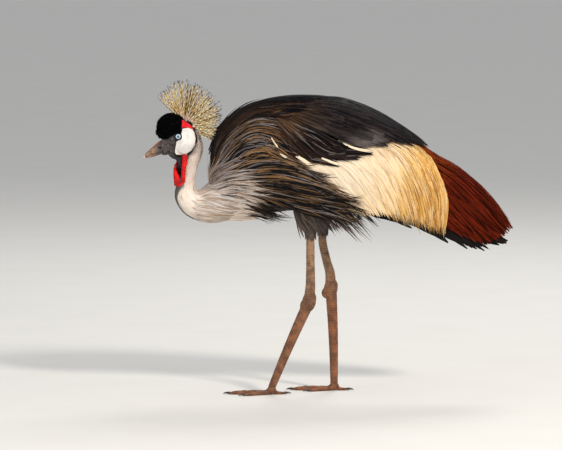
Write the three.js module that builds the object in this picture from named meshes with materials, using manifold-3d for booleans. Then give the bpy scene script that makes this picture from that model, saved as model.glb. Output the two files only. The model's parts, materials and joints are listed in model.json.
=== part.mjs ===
// A grey crowned crane, standing with its neck drawn in and its bill lowered, as a still life-size model.
// Millimetres, +Z up. The bird faces -X and its left side is towards -Y. The origin is on the ground, under the
// middle of the bird's length. The left foot is set forward and the right foot is under the body.
import * as THREE from "three";
import { mergeVertices } from "three/addons/utils/BufferGeometryUtils.js";
import { LoftGeometry } from "three/addons/geometries/LoftGeometry.js";
import Module from "manifold-3d";

const wasm = await Module();
wasm.setup();

// Driving dimensions
const GAP = 0.3; // clearance between pieces that touch
const VANE = 0.8; // thickness of a feather's vane
const EYE = { x: -298, y: 13.6, z: 514, radius: 6.6 };
const EYELID = 3.4; // how far the lids reach out round the eye
const TOE_LENGTHS = { middle: 84, inner: 58, outer: 62, hind: 27 };
const CLAW_LENGTH = 13;
const STANCE = 37; // half the distance between the feet

// Colours
const PAINT = {
  slate: { color: 0x4a4548, roughness: 0.75 },
  black: { color: 0x0c0b0d, roughness: 0.7 },
  velvet: { color: 0x050505, roughness: 0.95 },
  pale_grey: { color: 0xb9aea6, roughness: 0.8 },
  cream: { color: 0xe8cf9f, roughness: 0.75 },
  chestnut: { color: 0x5a1f10, roughness: 0.7 },
  gold: { color: 0xc9ab6b, roughness: 0.65 },
  scarlet: { color: 0xc81408, roughness: 0.5 },
  white_skin: { color: 0xefeae4, roughness: 0.6 },
  horn: { color: 0x4d4441, roughness: 0.5 },
  scaled_leg: { color: 0x5b4238, roughness: 0.6 },
  iris: { color: 0xa9c4d8, roughness: 0.1 },
};

// General helpers
const at = (x, y, z) => new THREE.Vector3(x, y, z);
const mix = (a, b, t) => a + (b - a) * t;
const clamp01 = (t) => Math.min(1, Math.max(0, t));

// A repeatable random number from 0 to 1.
function seeded(seed) {
  let state = seed;
  return () => {
    state = (state * 1664525 + 1013904223) % 4294967296;
    return state / 4294967296;
  };
}

// A smooth function through the rows of a table, whose first column is the variable.
function smoothTable(rows) {
  const slope = (i, c) => {
    const a = rows[Math.max(i - 1, 0)];
    const b = rows[Math.min(i + 1, rows.length - 1)];
    return (b[c] - a[c]) / (b[0] - a[0]);
  };
  return (x) => {
    let i = 0;
    while (i < rows.length - 2 && rows[i + 1][0] < x) i++;
    const span = rows[i + 1][0] - rows[i][0];
    const t = clamp01((x - rows[i][0]) / span);
    const t2 = t * t;
    const t3 = t2 * t;
    return rows[i].slice(1).map((value, k) => {
      const c = k + 1;
      return (
        (2 * t3 - 3 * t2 + 1) * value +
        (t3 - 2 * t2 + t) * span * slope(i, c) +
        (3 * t2 - 2 * t3) * rows[i + 1][c] +
        (t3 - t2) * span * slope(i + 1, c)
      );
    });
  };
}

// A closed geometry as a solid, with its faces turned out.
function solid(geometry) {
  const bare = new THREE.BufferGeometry().copy(geometry);
  bare.deleteAttribute("normal");
  bare.deleteAttribute("uv");
  const merged = mergeVertices(bare, 1e-4);
  const triVerts = new Uint32Array(merged.index.array);
  const vertProperties = merged.attributes.position.array;
  const make = () => new wasm.Manifold(new wasm.Mesh({ numProp: 3, vertProperties, triVerts }));
  let made = make();
  if (made.volume() < 0) {
    for (let i = 0; i < triVerts.length; i += 3) {
      [triVerts[i + 1], triVerts[i + 2]] = [triVerts[i + 2], triVerts[i + 1]];
    }
    made = make();
  }
  return made;
}

const union = (pieces) => wasm.Manifold.union(pieces);

// The largest closed surface of a joined piece, without the hollows that joining seals.
function largest(piece) {
  return piece.decompose().reduce((a, b) => (b.volume() > a.volume() ? b : a));
}

// A closed loft. Every ring is turned, where needed, to wind anticlockwise as seen from the last one.
function loft(sections) {
  const [first, last] = [sections[0], sections.at(-1)];
  const turn = at(0, 0, 0);
  first.forEach((p, i) => turn.add(p.clone().cross(first[(i + 1) % first.length])));
  const ahead = last[0].clone().sub(first[0]);
  const rings = turn.dot(ahead) < 0 ? sections.map((ring) => [...ring].reverse()) : sections;
  return solid(new LoftGeometry(rings, { capStart: true, capEnd: true }));
}

function ball(centre, rx, ry, rz, wide = 16, high = 10) {
  const g = new THREE.SphereGeometry(1, wide, high);
  g.scale(rx, ry, rz);
  g.translate(centre.x, centre.y, centre.z);
  return solid(g);
}

// Rings across a path that lies near a plane of constant Y. Each stop is [x, y, z, half depth, half width].
function limbSections(stops, sides, steps, grow = 0) {
  const path = new THREE.CatmullRomCurve3(stops.map((s) => at(s[0], s[1], s[2])), false, "centripetal");
  const sizes = smoothTable(stops.map((s, i) => [i / (stops.length - 1), s[3], s[4]]));
  const sections = [];
  for (let i = 0; i <= steps; i++) {
    const t = i / steps;
    const centre = path.getPoint(t);
    const ahead = path.getTangent(t);
    const across = at(0, 1, 0);
    const up = at(0, 0, 0).crossVectors(across, ahead).normalize();
    across.crossVectors(ahead, up).normalize();
    const [depth, width] = sizes(t);
    const ring = [];
    for (let k = 0; k < sides; k++) {
      const a = (k / sides) * 2 * Math.PI;
      ring.push(
        centre
          .clone()
          .addScaledVector(up, (depth + grow) * Math.cos(a))
          .addScaledVector(across, (width + grow) * Math.sin(a)),
      );
    }
    sections.push(ring);
  }
  return sections;
}

const limb = (stops, sides, steps, grow = 0) => loft(limbSections(stops, sides, steps, grow));

// A flat tapered strip. Each station has a centre, a normal, a width, a thickness and a tilt, by which its edges
// are moved along the normal. Both faces are split along the same diagonals, so that no curved strip crosses
// itself.
function strip(stations) {
  const points = [];
  const last = stations.length - 1;
  stations.forEach((s, i) => {
    const ahead = stations[Math.min(i + 1, last)].centre.clone();
    ahead.sub(stations[Math.max(i - 1, 0)].centre).normalize();
    const across = at(0, 0, 0).crossVectors(ahead, s.normal).normalize();
    const up = at(0, 0, 0).crossVectors(across, ahead).normalize();
    for (const [a, u] of [[-1, 1], [1, 1], [1, -1], [-1, -1]]) {
      const p = s.centre.clone();
      p.addScaledVector(across, (a * s.width) / 2);
      p.addScaledVector(up, (u * s.thick) / 2 - a * (s.tilt || 0));
      points.push(p.x, p.y, p.z);
    }
  });
  const faces = [0, 3, 2, 0, 2, 1];
  for (let i = 0; i < last; i++) {
    const [a, b, c, d] = [0, 1, 2, 3].map((k) => 4 * i + k);
    const [e, f, g, h] = [4, 5, 6, 7].map((k) => 4 * i + k);
    faces.push(a, b, f, a, f, e, d, g, c, d, h, g, b, c, g, b, g, f, a, e, h, a, h, d);
  }
  const t = 4 * last;
  faces.push(t, t + 1, t + 2, t, t + 2, t + 3);
  const geometry = new THREE.BufferGeometry();
  geometry.setAttribute("position", new THREE.Float32BufferAttribute(points, 3));
  geometry.setIndex(faces);
  return solid(geometry);
}

// A bristle with three sides and a pointed tip.
function bristle(root, bend, tip, radius) {
  const path = new THREE.QuadraticBezierCurve3(root, bend, tip);
  const points = [];
  const rings = [[0, 1]];
  const side = at(0, 1, 0.3).cross(tip.clone().sub(root)).normalize();
  for (const [t, share] of rings) {
    const other = at(0, 0, 0).crossVectors(path.getTangent(t), side).normalize();
    for (let k = 0; k < 3; k++) {
      const a = (k / 3) * 2 * Math.PI;
      const p = path.getPoint(t);
      p.addScaledVector(side, Math.cos(a) * radius * share);
      p.addScaledVector(other, Math.sin(a) * radius * share);
      points.push(p.x, p.y, p.z);
    }
  }
  points.push(tip.x, tip.y, tip.z);
  const faces = [0, 2, 1];
  for (let k = 0; k < 3; k++) {
    const n = (k + 1) % 3;
    faces.push(k, n, 3);
  }
  const geometry = new THREE.BufferGeometry();
  geometry.setAttribute("position", new THREE.Float32BufferAttribute(points, 3));
  geometry.setIndex(faces);
  return solid(geometry);
}

// The torso: x, top, bottom, half width
const TORSO = [
  [-234, 486, 446, 14],
  [-226, 515, 396, 32],
  [-210, 538, 360, 46],
  [-185, 557, 351, 59],
  [-150, 572, 356, 68],
  [-105, 581, 365, 73],
  [-55, 584, 369, 75],
  [-5, 579, 371, 73],
  [45, 564, 377, 67],
  [90, 540, 388, 57],
  [125, 516, 404, 44],
  [150, 495, 424, 28],
  [166, 480, 442, 12],
];
const torsoAt = smoothTable(TORSO);
const TORSO_SQUARE = 0.92;
const TORSO_SIDES = 16;

function torsoPoint(x, angle, side, lift = 0) {
  const [top, bottom, half] = torsoAt(x);
  const middle = (top + bottom) / 2;
  const c = Math.cos(angle);
  const s = Math.sin(angle);
  return at(
    x,
    side * (half + lift) * Math.sign(s) * Math.abs(s) ** TORSO_SQUARE,
    middle + ((top - bottom) / 2 + lift) * Math.sign(c) * Math.abs(c) ** TORSO_SQUARE,
  );
}

function torsoSolid(sides, grow = 0) {
  const sections = TORSO.map(([x]) => {
    const ring = [];
    for (let k = 0; k < sides; k++) ring.push(torsoPoint(x, (k / sides) * 2 * Math.PI, 1, grow));
    return ring;
  });
  const nose = sections[0].map((p) => p.clone().setX(p.x - grow));
  const rump = sections.at(-1).map((p) => p.clone().setX(p.x + grow));
  return loft([nose, ...sections.slice(1, -1), rump]);
}

// The cloak is the surface that the folded wings and the long body plumes lie on:
// x, ridge, level of greatest width, lower edge, half width
const CLOAK = [
  [-240, 480, 450, 425, 12],
  [-228, 518, 458, 412, 34],
  [-205, 545, 466, 400, 54],
  [-170, 567, 474, 392, 72],
  [-130, 581, 478, 386, 83],
  [-90, 588, 480, 382, 88],
  [-40, 590, 480, 378, 90],
  [10, 585, 477, 372, 89],
  [60, 571, 470, 364, 85],
  [110, 547, 458, 354, 79],
  [160, 515, 441, 342, 72],
  [210, 479, 420, 326, 64],
  [260, 450, 396, 306, 54],
  [310, 408, 364, 288, 41],
  [350, 362, 332, 290, 26],
  [372, 326, 314, 300, 13],
];
const cloakAt = smoothTable(CLOAK);
const CLOAK_SQUARE = 0.86;
const CLOAK_TUCK = 0.14; // share of its width that the cloak draws in at its lower edge

// q is 0 on the ridge of the back, 0.5 at the greatest width and 1 at the lower edge.
function cloakBase(x, q, side) {
  const [top, wide, low, half] = cloakAt(x);
  if (q <= 0.5) {
    const a = Math.max(q, 0) * Math.PI;
    return at(
      x,
      side * half * Math.sin(a) ** CLOAK_SQUARE,
      wide + (top - wide) * Math.max(Math.cos(a), 0) ** CLOAK_SQUARE,
    );
  }
  const t = (q - 0.5) * 2;
  return at(x, side * half * (1 - CLOAK_TUCK * t * t), wide - (wide - low) * t);
}

function cloakNormal(x, q, side) {
  const along = cloakBase(x + 2, q, side).sub(cloakBase(x - 2, q, side));
  const round = cloakBase(x, q + 0.01, side).sub(cloakBase(x, Math.max(q - 0.01, 0), side));
  return along.cross(round).multiplyScalar(side).normalize();
}

function qAt(x, z) {
  const [top, wide, low] = cloakAt(x);
  if (z <= wide) return 0.5 + (0.5 * (wide - z)) / (wide - low);
  return Math.acos(clamp01((z - wide) / (top - wide)) ** (1 / CLOAK_SQUARE)) / Math.PI;
}

// A feather on the cloak. Its route is a list of [x, q], and its lifts are spaced evenly from root to tip.
const CLOAK_ARC = 190; // typical distance over the side of the cloak from q = 0 to q = 1

function cloakFeather(side, route, width, lifts, segments, options = {}) {
  const path = new THREE.CatmullRomCurve3(route.map(([x, q]) => at(x, 0, q * CLOAK_ARC)), false, "centripetal");
  const { waist = 0.55, point = 0.12, slope = 0.13 } = options;
  const stations = [];
  for (let i = 0; i <= segments; i++) {
    const t = i / segments;
    const p = path.getPointAt(t);
    const q = Math.max(p.z / CLOAK_ARC, 0.03);
    const normal = cloakNormal(p.x, q, side);
    const f = t * (lifts.length - 1);
    const rest = Math.min(Math.floor(f), lifts.length - 2);
    const lift = mix(lifts[rest], lifts[rest + 1], f - rest);
    const spread = t < 0.5 ? mix(waist, 1, t / 0.5) : mix(1, point, ((t - 0.5) / 0.5) ** 1.6);
    stations.push({
      centre: cloakBase(p.x, q, side).addScaledVector(normal, lift),
      normal,
      width: width * spread,
      thick: t === 1 ? VANE * 0.7 : VANE,
      tilt: (slope * side * width * spread) / 2,
    });
  }
  return strip(stations);
}

// A block of the folded wing between two lifts from the cloak, over a range of x and q, with flat ends.
function cloakBlock(side, xs, q0, q1, low, high, steps = 8) {
  const [from, to] = [xs[0], xs.at(-1)];
  const sections = [from - 12, ...xs.slice(1, -1), to + 12].map((x) => {
    const ring = [];
    for (const [lift, qa, qb] of [[high, q0, q1], [low, q1, q0]]) {
      for (let k = 0; k <= steps; k++) {
        const q = mix(qa, qb, k / steps);
        ring.push(cloakBase(x, q, side).addScaledVector(cloakNormal(x, q, side), lift));
      }
    }
    return ring;
  });
  return loft(sections).trimByPlane([1, 0, 0], from).trimByPlane([-1, 0, 0], -to);
}

// A route part of the way through a list of key routes, which all have the same number of points. A point is
// [x, z] as seen from the side, or [x, q] near the ridge.
function blendRoute(keys, s) {
  const f = clamp01(s) * (keys.length - 1);
  const i = Math.min(Math.floor(f), keys.length - 2);
  const asQ = ([x, v]) => (v < 2 ? v : qAt(x, v));
  return keys[i].map((from, k) => {
    const to = keys[i + 1][k];
    return [mix(from[0], to[0], f - i), mix(asQ(from), asQ(to), f - i)];
  });
}

// A tier of overlapping feathers between the key routes.
function tier(side, keys, count, width, lifts, segments, options) {
  const pieces = [];
  for (let i = 0; i < count; i++) {
    pieces.push(cloakFeather(side, blendRoute(keys, i / (count - 1)), width, lifts, segments, options));
  }
  return pieces;
}

// Lifts of the layers of feathers from the cloak
const PRIMARY_LIFT = -4.4;
const SECONDARY_LIFT = 0;
const COVERT_LIFT = 4.4;
const MEDIAN_LIFT = 7.8;
const OUTER_LIFT = 11.2;
const CAPE_LIFTS = [-9, 2, OUTER_LIFT, OUTER_LIFT];
const SCAPULAR_LIFTS = [-2, 10.5, OUTER_LIFT, OUTER_LIFT];
const COVERT_LIFTS = [-6, COVERT_LIFT, COVERT_LIFT, COVERT_LIFT, COVERT_LIFT];
const MEDIAN_LIFTS = [-6, MEDIAN_LIFT, MEDIAN_LIFT, MEDIAN_LIFT];

// Key routes of the tiers, from the top of each tier to its bottom
const SECONDARY_KEYS = [
  [[56, 0.07], [150, 0.07], [238, 0.07], [316, 0.09], [370, 0.16]],
  [[56, 552], [150, 509], [236, 452], [313, 384], [366, 314]],
  [[56, 507], [145, 464], [228, 406], [298, 346], [348, 297]],
  [[56, 453], [112, 431], [178, 398], [240, 353], [303, 296]],
];
const PRIMARY_KEYS = [
  [[90, 466], [165, 422], [240, 362], [318, 290]],
  [[90, 441], [150, 402], [212, 352], [264, 307]],
  [[90, 414], [135, 386], [180, 352], [222, 314]],
];
const GREATER_KEYS = [
  [[-20, 489], [72, 487], [162, 464], [214, 405]],
  [[-30, 466], [62, 454], [160, 418], [236, 338]],
  [[-45, 420], [22, 400], [82, 376], [138, 350]],
];
const MEDIAN_KEYS = [
  [[-100, 505], [-40, 498], [40, 484], [110, 462]],
  [[-110, 470], [-45, 452], [30, 428], [95, 392]],
  [[-110, 430], [-60, 408], [0, 387], [58, 364]],
];
const SCAPULAR_KEYS = [
  [[-20, 0.05], [60, 0.05], [130, 0.06], [192, 0.08]],
  [[-40, 0.13], [40, 0.14], [118, 0.15], [182, 0.19]],
  [[-70, 0.2], [10, 0.23], [88, 519], [160, 492]],
  [[-110, 573], [-35, 535], [40, 505], [92, 481]],
  [[-154, 566], [-95, 520], [-28, 481], [20, 454]],
];
const CAPE_KEYS = [
  [[-212, 522], [-160, 508], [-95, 482], [-30, 447]],
  [[-214, 470], [-150, 448], [-60, 424], [36, 402]],
  [[-212, 426], [-150, 405], [-50, 391], [70, 378]],
];

// Body: the trunk with a saddle over the back, the cape's plumes and the feathers of the shoulder
const SADDLE = { stations: [-220, -190, -140, -80, -20, 38], reach: 0.26, arc: 8 };

function saddleSolid() {
  const rings = SADDLE.stations.map((x) => {
    const ring = [];
    for (let k = 0; k <= SADDLE.arc; k++) {
      const q = mix(-SADDLE.reach, SADDLE.reach, k / SADDLE.arc);
      const side = q < 0 ? -1 : 1;
      const rise = cloakNormal(x, Math.max(Math.abs(q), 0.01), side);
      ring.push(cloakBase(x, Math.abs(q), side).addScaledVector(rise, k % SADDLE.arc === 0 ? -2 : 0.5));
    }
    const half = cloakAt(x)[3];
    ring.push(at(x, half * 0.4, torsoAt(x)[0] - 40), at(x, -half * 0.4, torsoAt(x)[0] - 40));
    return ring;
  });
  return loft(rings);
}

function bodySolid() {
  const pieces = [torsoSolid(TORSO_SIDES), saddleSolid()];
  for (const side of [-1, 1]) {
    pieces.push(
      ...tier(side, CAPE_KEYS, 8, 22, CAPE_LIFTS, 3, { slope: 0.14, waist: 0.7 }),
      ...tier(side, SCAPULAR_KEYS, 7, 27, SCAPULAR_LIFTS, 3, { slope: 0.12, waist: 0.4, point: 0.2 }),
    );
  }
  return largest(union(pieces));
}

// Wing: the block at the shoulder with its rows of long pale coverts
function wingSolid(side, torso) {
  const pieces = [
    cloakBlock(side, [-132, -100, -60, -20, 40], 0.305, 0.66, -20, -1.5, 6),
    ...tier(side, GREATER_KEYS, 9, 16.5, COVERT_LIFTS, 4, { slope: 0.14 }),
    ...tier(side, MEDIAN_KEYS, 7, 17, MEDIAN_LIFTS, 3, { slope: 0.12 }),
  ];
  return largest(union(pieces).subtract(torso));
}

function secondariesSolid(side, torso) {
  const pieces = [
    cloakBlock(side, [40.4, 57, 74], 0.02, 0.6, -20, 1.7, 6),
    ...tier(side, SECONDARY_KEYS, 10, 16.5, [0, SECONDARY_LIFT], 4, { slope: 0.2, waist: 0.8 }),
  ];
  return largest(union(pieces).subtract(torso).trimByPlane([0, side, 0], GAP));
}

function primariesSolid(side, torso) {
  const pieces = [
    cloakBlock(side, [74.4, 90, 104], 0.34, 0.66, -16, -2.6, 5),
    ...tier(side, PRIMARY_KEYS, 6, 17, [PRIMARY_LIFT, PRIMARY_LIFT], 4, { slope: 0.14, waist: 0.8 }),
  ];
  return largest(union(pieces).subtract(torso));
}

// Tail: feathers spread a little, on the short root behind the rump
const TAIL_FEATHERS = 11;
const TAIL_STOPS = [
  [172, 0.25, 459, 7],
  [225, 1.9, 414, 17],
  [285, 2.5, 358, 18],
  [345, 2.3, 300, 7],
];

function tailSolid(torso) {
  const pieces = [ball(at(172, 0, 452), 30, 13, 16, 8, 6)];
  for (let k = 0; k < TAIL_FEATHERS; k++) {
    const rank = Math.ceil(k / 2) * (k % 2 === 0 ? 1 : -1);
    const reach = 1 - Math.abs(rank) * 0.02;
    const drop = k * 1.3;
    const stations = TAIL_STOPS.map(([x, spread, z, width]) => ({
      centre: at(mix(172, x, reach), rank * spread, mix(458, z, reach) - drop),
      normal: at(0.7, 0, 0.72),
      width,
      thick: VANE,
    }));
    pieces.push(strip(stations));
  }
  return largest(union(pieces).subtract(torso));
}

// Neck
const NECK = [
  [-273, 0, 519, 13, 12],
  [-266, 0, 495, 16, 15],
  [-267, 0, 475, 15.5, 15],
  [-273, 0, 455, 15, 14.5],
  [-277, 0, 435, 15, 15],
  [-281, 0, 415, 18, 17],
  [-279, 0, 395, 25, 24],
  [-263, 0, 379, 31, 31],
  [-243, 0, 377, 34, 35],
  [-220, 0, 390, 30, 27],
];
const NECK_SPLIT = 441; // level at which the upper and lower neck meet
const PLUME_WIDTHS = [10, 12, 10, 3];
const PLUME_SLOPE = 0.2;
const PLUMES = 5; // on each side

function breastPlume(side, s) {
  const angle = mix(2.32, 2.98, s);
  const reach = mix(-150, -92, Math.sin(s * Math.PI));
  const stations = [
    {
      centre: at(-252, side * mix(24, 4, s), mix(402, 360, s)),
      normal: at(-0.3, side * Math.sin(angle), Math.cos(angle)),
      width: 9,
      thick: VANE,
    },
  ];
  for (let i = 0; i < 4; i++) {
    const x = mix(-205, reach, i / 3);
    const turn = angle - 0.1 * (i / 3);
    stations.push({
      centre: torsoPoint(x, turn, side, 4.6),
      normal: torsoPoint(x, turn, side, 4).sub(torsoPoint(x, turn, side, 0)),
      width: PLUME_WIDTHS[i],
      thick: i === 3 ? VANE * 0.7 : VANE,
      tilt: (side * PLUME_SLOPE * PLUME_WIDTHS[i]) / 2,
    });
  }
  return strip(stations);
}

function neckSolids(head, torso) {
  const whole = limb(NECK, 14, 12);
  const upper = whole.trimByPlane([0, 0, 1], NECK_SPLIT + GAP / 2).subtract(head);
  const lower = [whole.trimByPlane([0, 0, -1], -(NECK_SPLIT - GAP / 2))];
  for (const side of [-1, 1]) {
    for (let i = 0; i < PLUMES; i++) lower.push(breastPlume(side, i / (PLUMES - 1)));
  }
  return [largest(upper), largest(union(lower).subtract(torso))];
}

// Head
const HEAD = [
  [-322, 0, 498, 13, 10],
  [-308, 0, 505, 24, 16.5],
  [-290, 0, 509, 30.5, 18.5],
  [-274, 0, 507, 27, 17],
  [-263, 0, 502, 19, 12],
];
const CHIN = [
  [-318, 0, 486, 6, 6],
  [-304, 0, 478, 9, 9],
  [-290, 0, 484, 12, 12],
];
// Bill and face: x, ridge, lower edge, half width
const BILL = [
  [-329, 508.4, 479.4, 9.6],
  [-336, 505.4, 477.7, 8.4],
  [-343, 499.8, 475.4, 6.9],
  [-350, 493, 473.3, 5.5],
  [-357, 487, 472.1, 4.2],
  [-363, 480.6, 471.5, 2.8],
  [-367.6, 473.6, 471.2, 0.9],
];
const FACE = [
  [-329 + GAP, 508.9, 478.9, 10],
  [-320, 512, 479.2, 12.4],
  [-310, 515, 477.5, 14.8],
  [-300, 520, 478, 16],
];
const BILL_SIDES = 12;
const MOUTH = { x: -359, z: 476.5, slope: 0.275, corner: -309, tip: -363.8, line: 0.7, depth: 2 };
const NOSTRIL = { x: -335, y: 7.8, z: 492.5, long: 4.2, deep: 2, high: 1.6 };

const mouthLevel = (x) => MOUTH.z + (x - MOUTH.x) * MOUTH.slope;

// Rings at constant X, widest just above the line of the mouth
function snout(rows) {
  const rings = rows.map(([x, ridge, low, half]) => {
    const widest = mix(mouthLevel(x), ridge, 0.1);
    const ring = [];
    for (let k = 0; k < BILL_SIDES; k++) {
      const a = (k / BILL_SIDES) * 2 * Math.PI;
      const rise = Math.cos(a) > 0 ? ridge - widest : widest - low;
      ring.push(at(x, half * Math.sin(a), widest + rise * Math.cos(a)));
    }
    return ring;
  });
  return loft(rings);
}

// The plane of the mouth as [normal, offset], for the side above it
function mouthPlane() {
  const normal = at(-MOUTH.slope, 0, 1).normalize();
  return [[normal.x, normal.y, normal.z], normal.dot(at(MOUTH.x, 0, MOUTH.z))];
}

// The upper bill hooks down in front of the lower one.
function billSolids() {
  const [up, level] = mouthPlane();
  const down = up.map((c) => -c);
  const bill = snout(BILL);
  const hook = bill.trimByPlane([-1, 0, 0], -MOUTH.tip + GAP);
  let upper = union([bill.trimByPlane(up, level + GAP / 2), hook]);
  for (const side of [-1, 1]) {
    const centre = at(NOSTRIL.x, side * NOSTRIL.y, NOSTRIL.z);
    upper = upper.subtract(ball(centre, NOSTRIL.long, NOSTRIL.deep, NOSTRIL.high, 8, 6));
  }
  return [upper, bill.trimByPlane(down, -level + GAP / 2).trimByPlane([1, 0, 0], MOUTH.tip)];
}

// The line of the mouth where it runs on into the cheek
function mouthLine(side) {
  const stations = [[-332, 9.4], [-320, 12.4], [MOUTH.corner, 15]].map(([x, y]) => ({
    centre: at(x, side * y, mouthLevel(x)),
    normal: at(-MOUTH.slope, 0, 1),
    width: MOUTH.depth * 2,
    thick: MOUTH.line,
  }));
  return strip(stations);
}

// An ellipsoid whose long axis slopes in the plane of the profile
function tilted(rx, ry, rz, tilt, centre, wide = 18, high = 12) {
  const g = new THREE.SphereGeometry(1, wide, high);
  g.rotateX(Math.PI / 2);
  g.scale(rx, ry, rz);
  g.rotateY(tilt);
  g.translate(centre.x, centre.y, centre.z);
  return solid(g);
}

// The rim of the eyelids, standing a little out from the head
function lid(side) {
  const g = new THREE.TorusGeometry(EYE.radius + 0.5, 1.7, 4, 10);
  g.rotateX(Math.PI / 2);
  g.rotateZ(side * 0.12);
  g.translate(EYE.x, side * (EYE.y + 3.4), EYE.z);
  return solid(g);
}

const eyeBall = (side, grow = 0) => {
  const r = EYE.radius + grow;
  return ball(at(EYE.x, side * EYE.y, EYE.z), r, r, r, 10, 6);
};
const capShape = (grow) => tilted(32 + grow, 16.5 + grow, 26 + grow, -0.2, at(-311, 0, 534), 13, 7);
const capSolid = (grow = 0) =>
  capShape(grow).subtract(eyeBall(-1, EYELID - grow)).subtract(eyeBall(1, EYELID - grow));
const crestRoot = (grow = 0) => tilted(13 + grow, 9 + grow, 8 + grow, -0.5, at(-270, 0, 535), 10, 6);
const cheekRegion = (side, grow = 0) =>
  tilted(19 + grow, 7.5 + grow, 26.5 + grow, 0.2, at(-282, side * 18.5, 503), 10, 6);

function headSolids() {
  let head = union([limb(HEAD, 14, 7), snout(FACE), limb(CHIN, 8, 3), lid(-1), lid(1)]);
  head = head.subtract(mouthLine(-1)).subtract(mouthLine(1));
  head = head.subtract(capSolid(GAP)).subtract(crestRoot(GAP));
  const cheeks = [-1, 1].map((side) => {
    return largest(cheekRegion(side).intersect(head).subtract(eyeBall(side, EYELID)));
  });
  for (const side of [-1, 1]) {
    head = head.subtract(cheekRegion(side, GAP).subtract(eyeBall(side, EYELID - GAP)));
    head = head.subtract(eyeBall(side, GAP));
  }
  return { head: largest(head), cheeks };
}

// Crest: straw-like bristles that stand out in a fan from the back of the crown
const CREST = { count: 50, x: -270, z: 535, front: 2.4, back: -0.3, spread: 0.58, radius: 0.75 };
const GOLDEN = 0.618034; // steps the bristles evenly across the fan

function crestSolid() {
  const random = seeded(11);
  const pieces = [crestRoot()];
  for (let i = 0; i < CREST.count; i++) {
    const s = (i + 0.5) / CREST.count;
    const turn = mix(CREST.back, CREST.front, s);
    const lean = (((i * GOLDEN) % 1) * 2 - 1) * CREST.spread * mix(1, 0.5, s * s);
    const reach = mix(40, 80, clamp01(s * 2.2)) * mix(0.86, 1, random());
    const way = at(Math.cos(turn) * Math.cos(lean), Math.sin(lean), Math.sin(turn) * Math.cos(lean));
    const root = at(CREST.x, 0, CREST.z + 9 * s).addScaledVector(way, 4);
    const tip = root.clone().addScaledVector(way, reach);
    const bend = root.clone().lerp(tip, 0.5);
    bend.z += 2;
    pieces.push(bristle(root, bend, tip, CREST.radius));
  }
  return largest(union(pieces));
}

// Wattle: two lobes of bare skin with lengthwise folds, hanging from the throat
const WATTLE_FOLDS = [
  [[-299, 3, 473, 5, 5], [-301, 4, 455, 7, 5.5], [-302, 4, 435, 6, 5], [-301, 3, 418, 4.5, 4]],
  [[-295, 7, 472, 5, 5], [-296, 8, 455, 6, 5.5], [-296, 8, 435, 5, 5], [-296, 6, 416, 3.5, 3.5]],
  [[-300, -3, 473, 5, 5], [-303, -4, 452, 5, 5], [-303, -3, 432, 4.5, 4.5], [-301, -2, 419, 3, 3]],
  [[-290, -10, 478, 5, 5], [-289, -14, 462, 5, 5], [-289, -13, 440, 4.5, 4.5], [-290, -10, 421, 3, 3]],
  [[-284, -12, 480, 5, 4.5], [-282, -16.5, 462, 5, 4], [-284, -15.5, 442, 4.5, 4], [-287, -12, 424, 3, 3]],
];

function wattleSolid(head, neck) {
  const base = tilted(14, 12, 8, -0.3, at(-295, -2, 474), 8, 5);
  const folds = WATTLE_FOLDS.map((stops) => limb(stops, 6, 3));
  return largest(union([base, ...folds]).subtract(head).subtract(neck));
}

// Legs
const LEGS = [
  { side: -1, name: "left", x: -39, y: -39, z: 186, foot: -112, thigh: -33 },
  { side: 1, name: "right", x: 4, y: 39, z: 204, foot: 14, thigh: -8 },
];
const ANKLE = 13; // height of the middle of the ankle

const hockBall = (h, grow = 0) =>
  tilted(14.5 + grow, 10.5 + grow, 18.5 + grow, 0.2 * h.side, at(h.x, h.y, h.z), 12, 7);

const shankStops = (h) => [
  [h.thigh - 1, h.side * 41, 330, 7.6, 7],
  [h.thigh - 1.5, h.side * 41, 300, 8, 7.2],
  [mix(h.thigh, h.x, 0.45), h.side * 40.5, 260, 8, 7.2],
  [mix(h.thigh, h.x, 0.8), h.side * 40, h.z + 32, 8.4, 7.6],
  [h.x, h.y, h.z, 10, 9],
];

const shankSolid = (h, grow = 0) => union([limb(shankStops(h), 10, 6, grow), hockBall(h, grow)]);

// The scutes step out at their lower edges, down the length of the tarsus.
const SCUTES = 8;

function tarsusSolid(h, grow = 0) {
  const top = at(h.x - 2 * h.side, h.y, h.z - 6);
  const foot = at(h.foot, h.side * STANCE, ANKLE);
  const stops = [];
  for (let i = 0; i < SCUTES; i++) {
    for (const [part, step] of [[0, -0.25], [0.86, 0.35]]) {
      const t = (i + part) / SCUTES;
      const p = top.clone().lerp(foot, t);
      const girth = mix(8.2, 6.9, Math.sin(Math.min(t * 1.35, 1) * Math.PI * 0.5)) + step;
      stops.push([p.x, p.y, p.z, girth, girth * 0.82]);
    }
  }
  return limb(stops, 8, stops.length - 1, grow).subtract(hockBall(h, GAP));
}

// Feet: each toe is a row of pads, flat beneath
const TOES = [
  { name: "middle", turn: 0, girth: 6 },
  { name: "inner", turn: 0.48, girth: 5.4 },
  { name: "outer", turn: -0.5, girth: 5.4 },
  { name: "hind", turn: 3.02, girth: 4.4 },
];
const PADS = 2;
const TOE_DEPTH = 0.85; // height of a toe as a share of its width
const CLAW_HEIGHT = 3; // height of the middle of a claw where it leaves the toe

// Stops along a toe as [distance, height, radius]
function toeStops(length, girth) {
  const stops = [[2, 7, girth + 1.2]];
  for (let i = 0; i < PADS; i++) {
    const reach = mix(12, length - 9, i / (PADS - 0.6));
    const pad = girth - i * 0.45;
    stops.push([reach, pad * TOE_DEPTH - 0.8, pad], [reach + length * 0.11, pad * TOE_DEPTH - 1.2, pad - 0.8]);
  }
  stops.push([length - 3, CLAW_HEIGHT, 2.9], [length, CLAW_HEIGHT, 2.6]);
  return stops;
}

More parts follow.
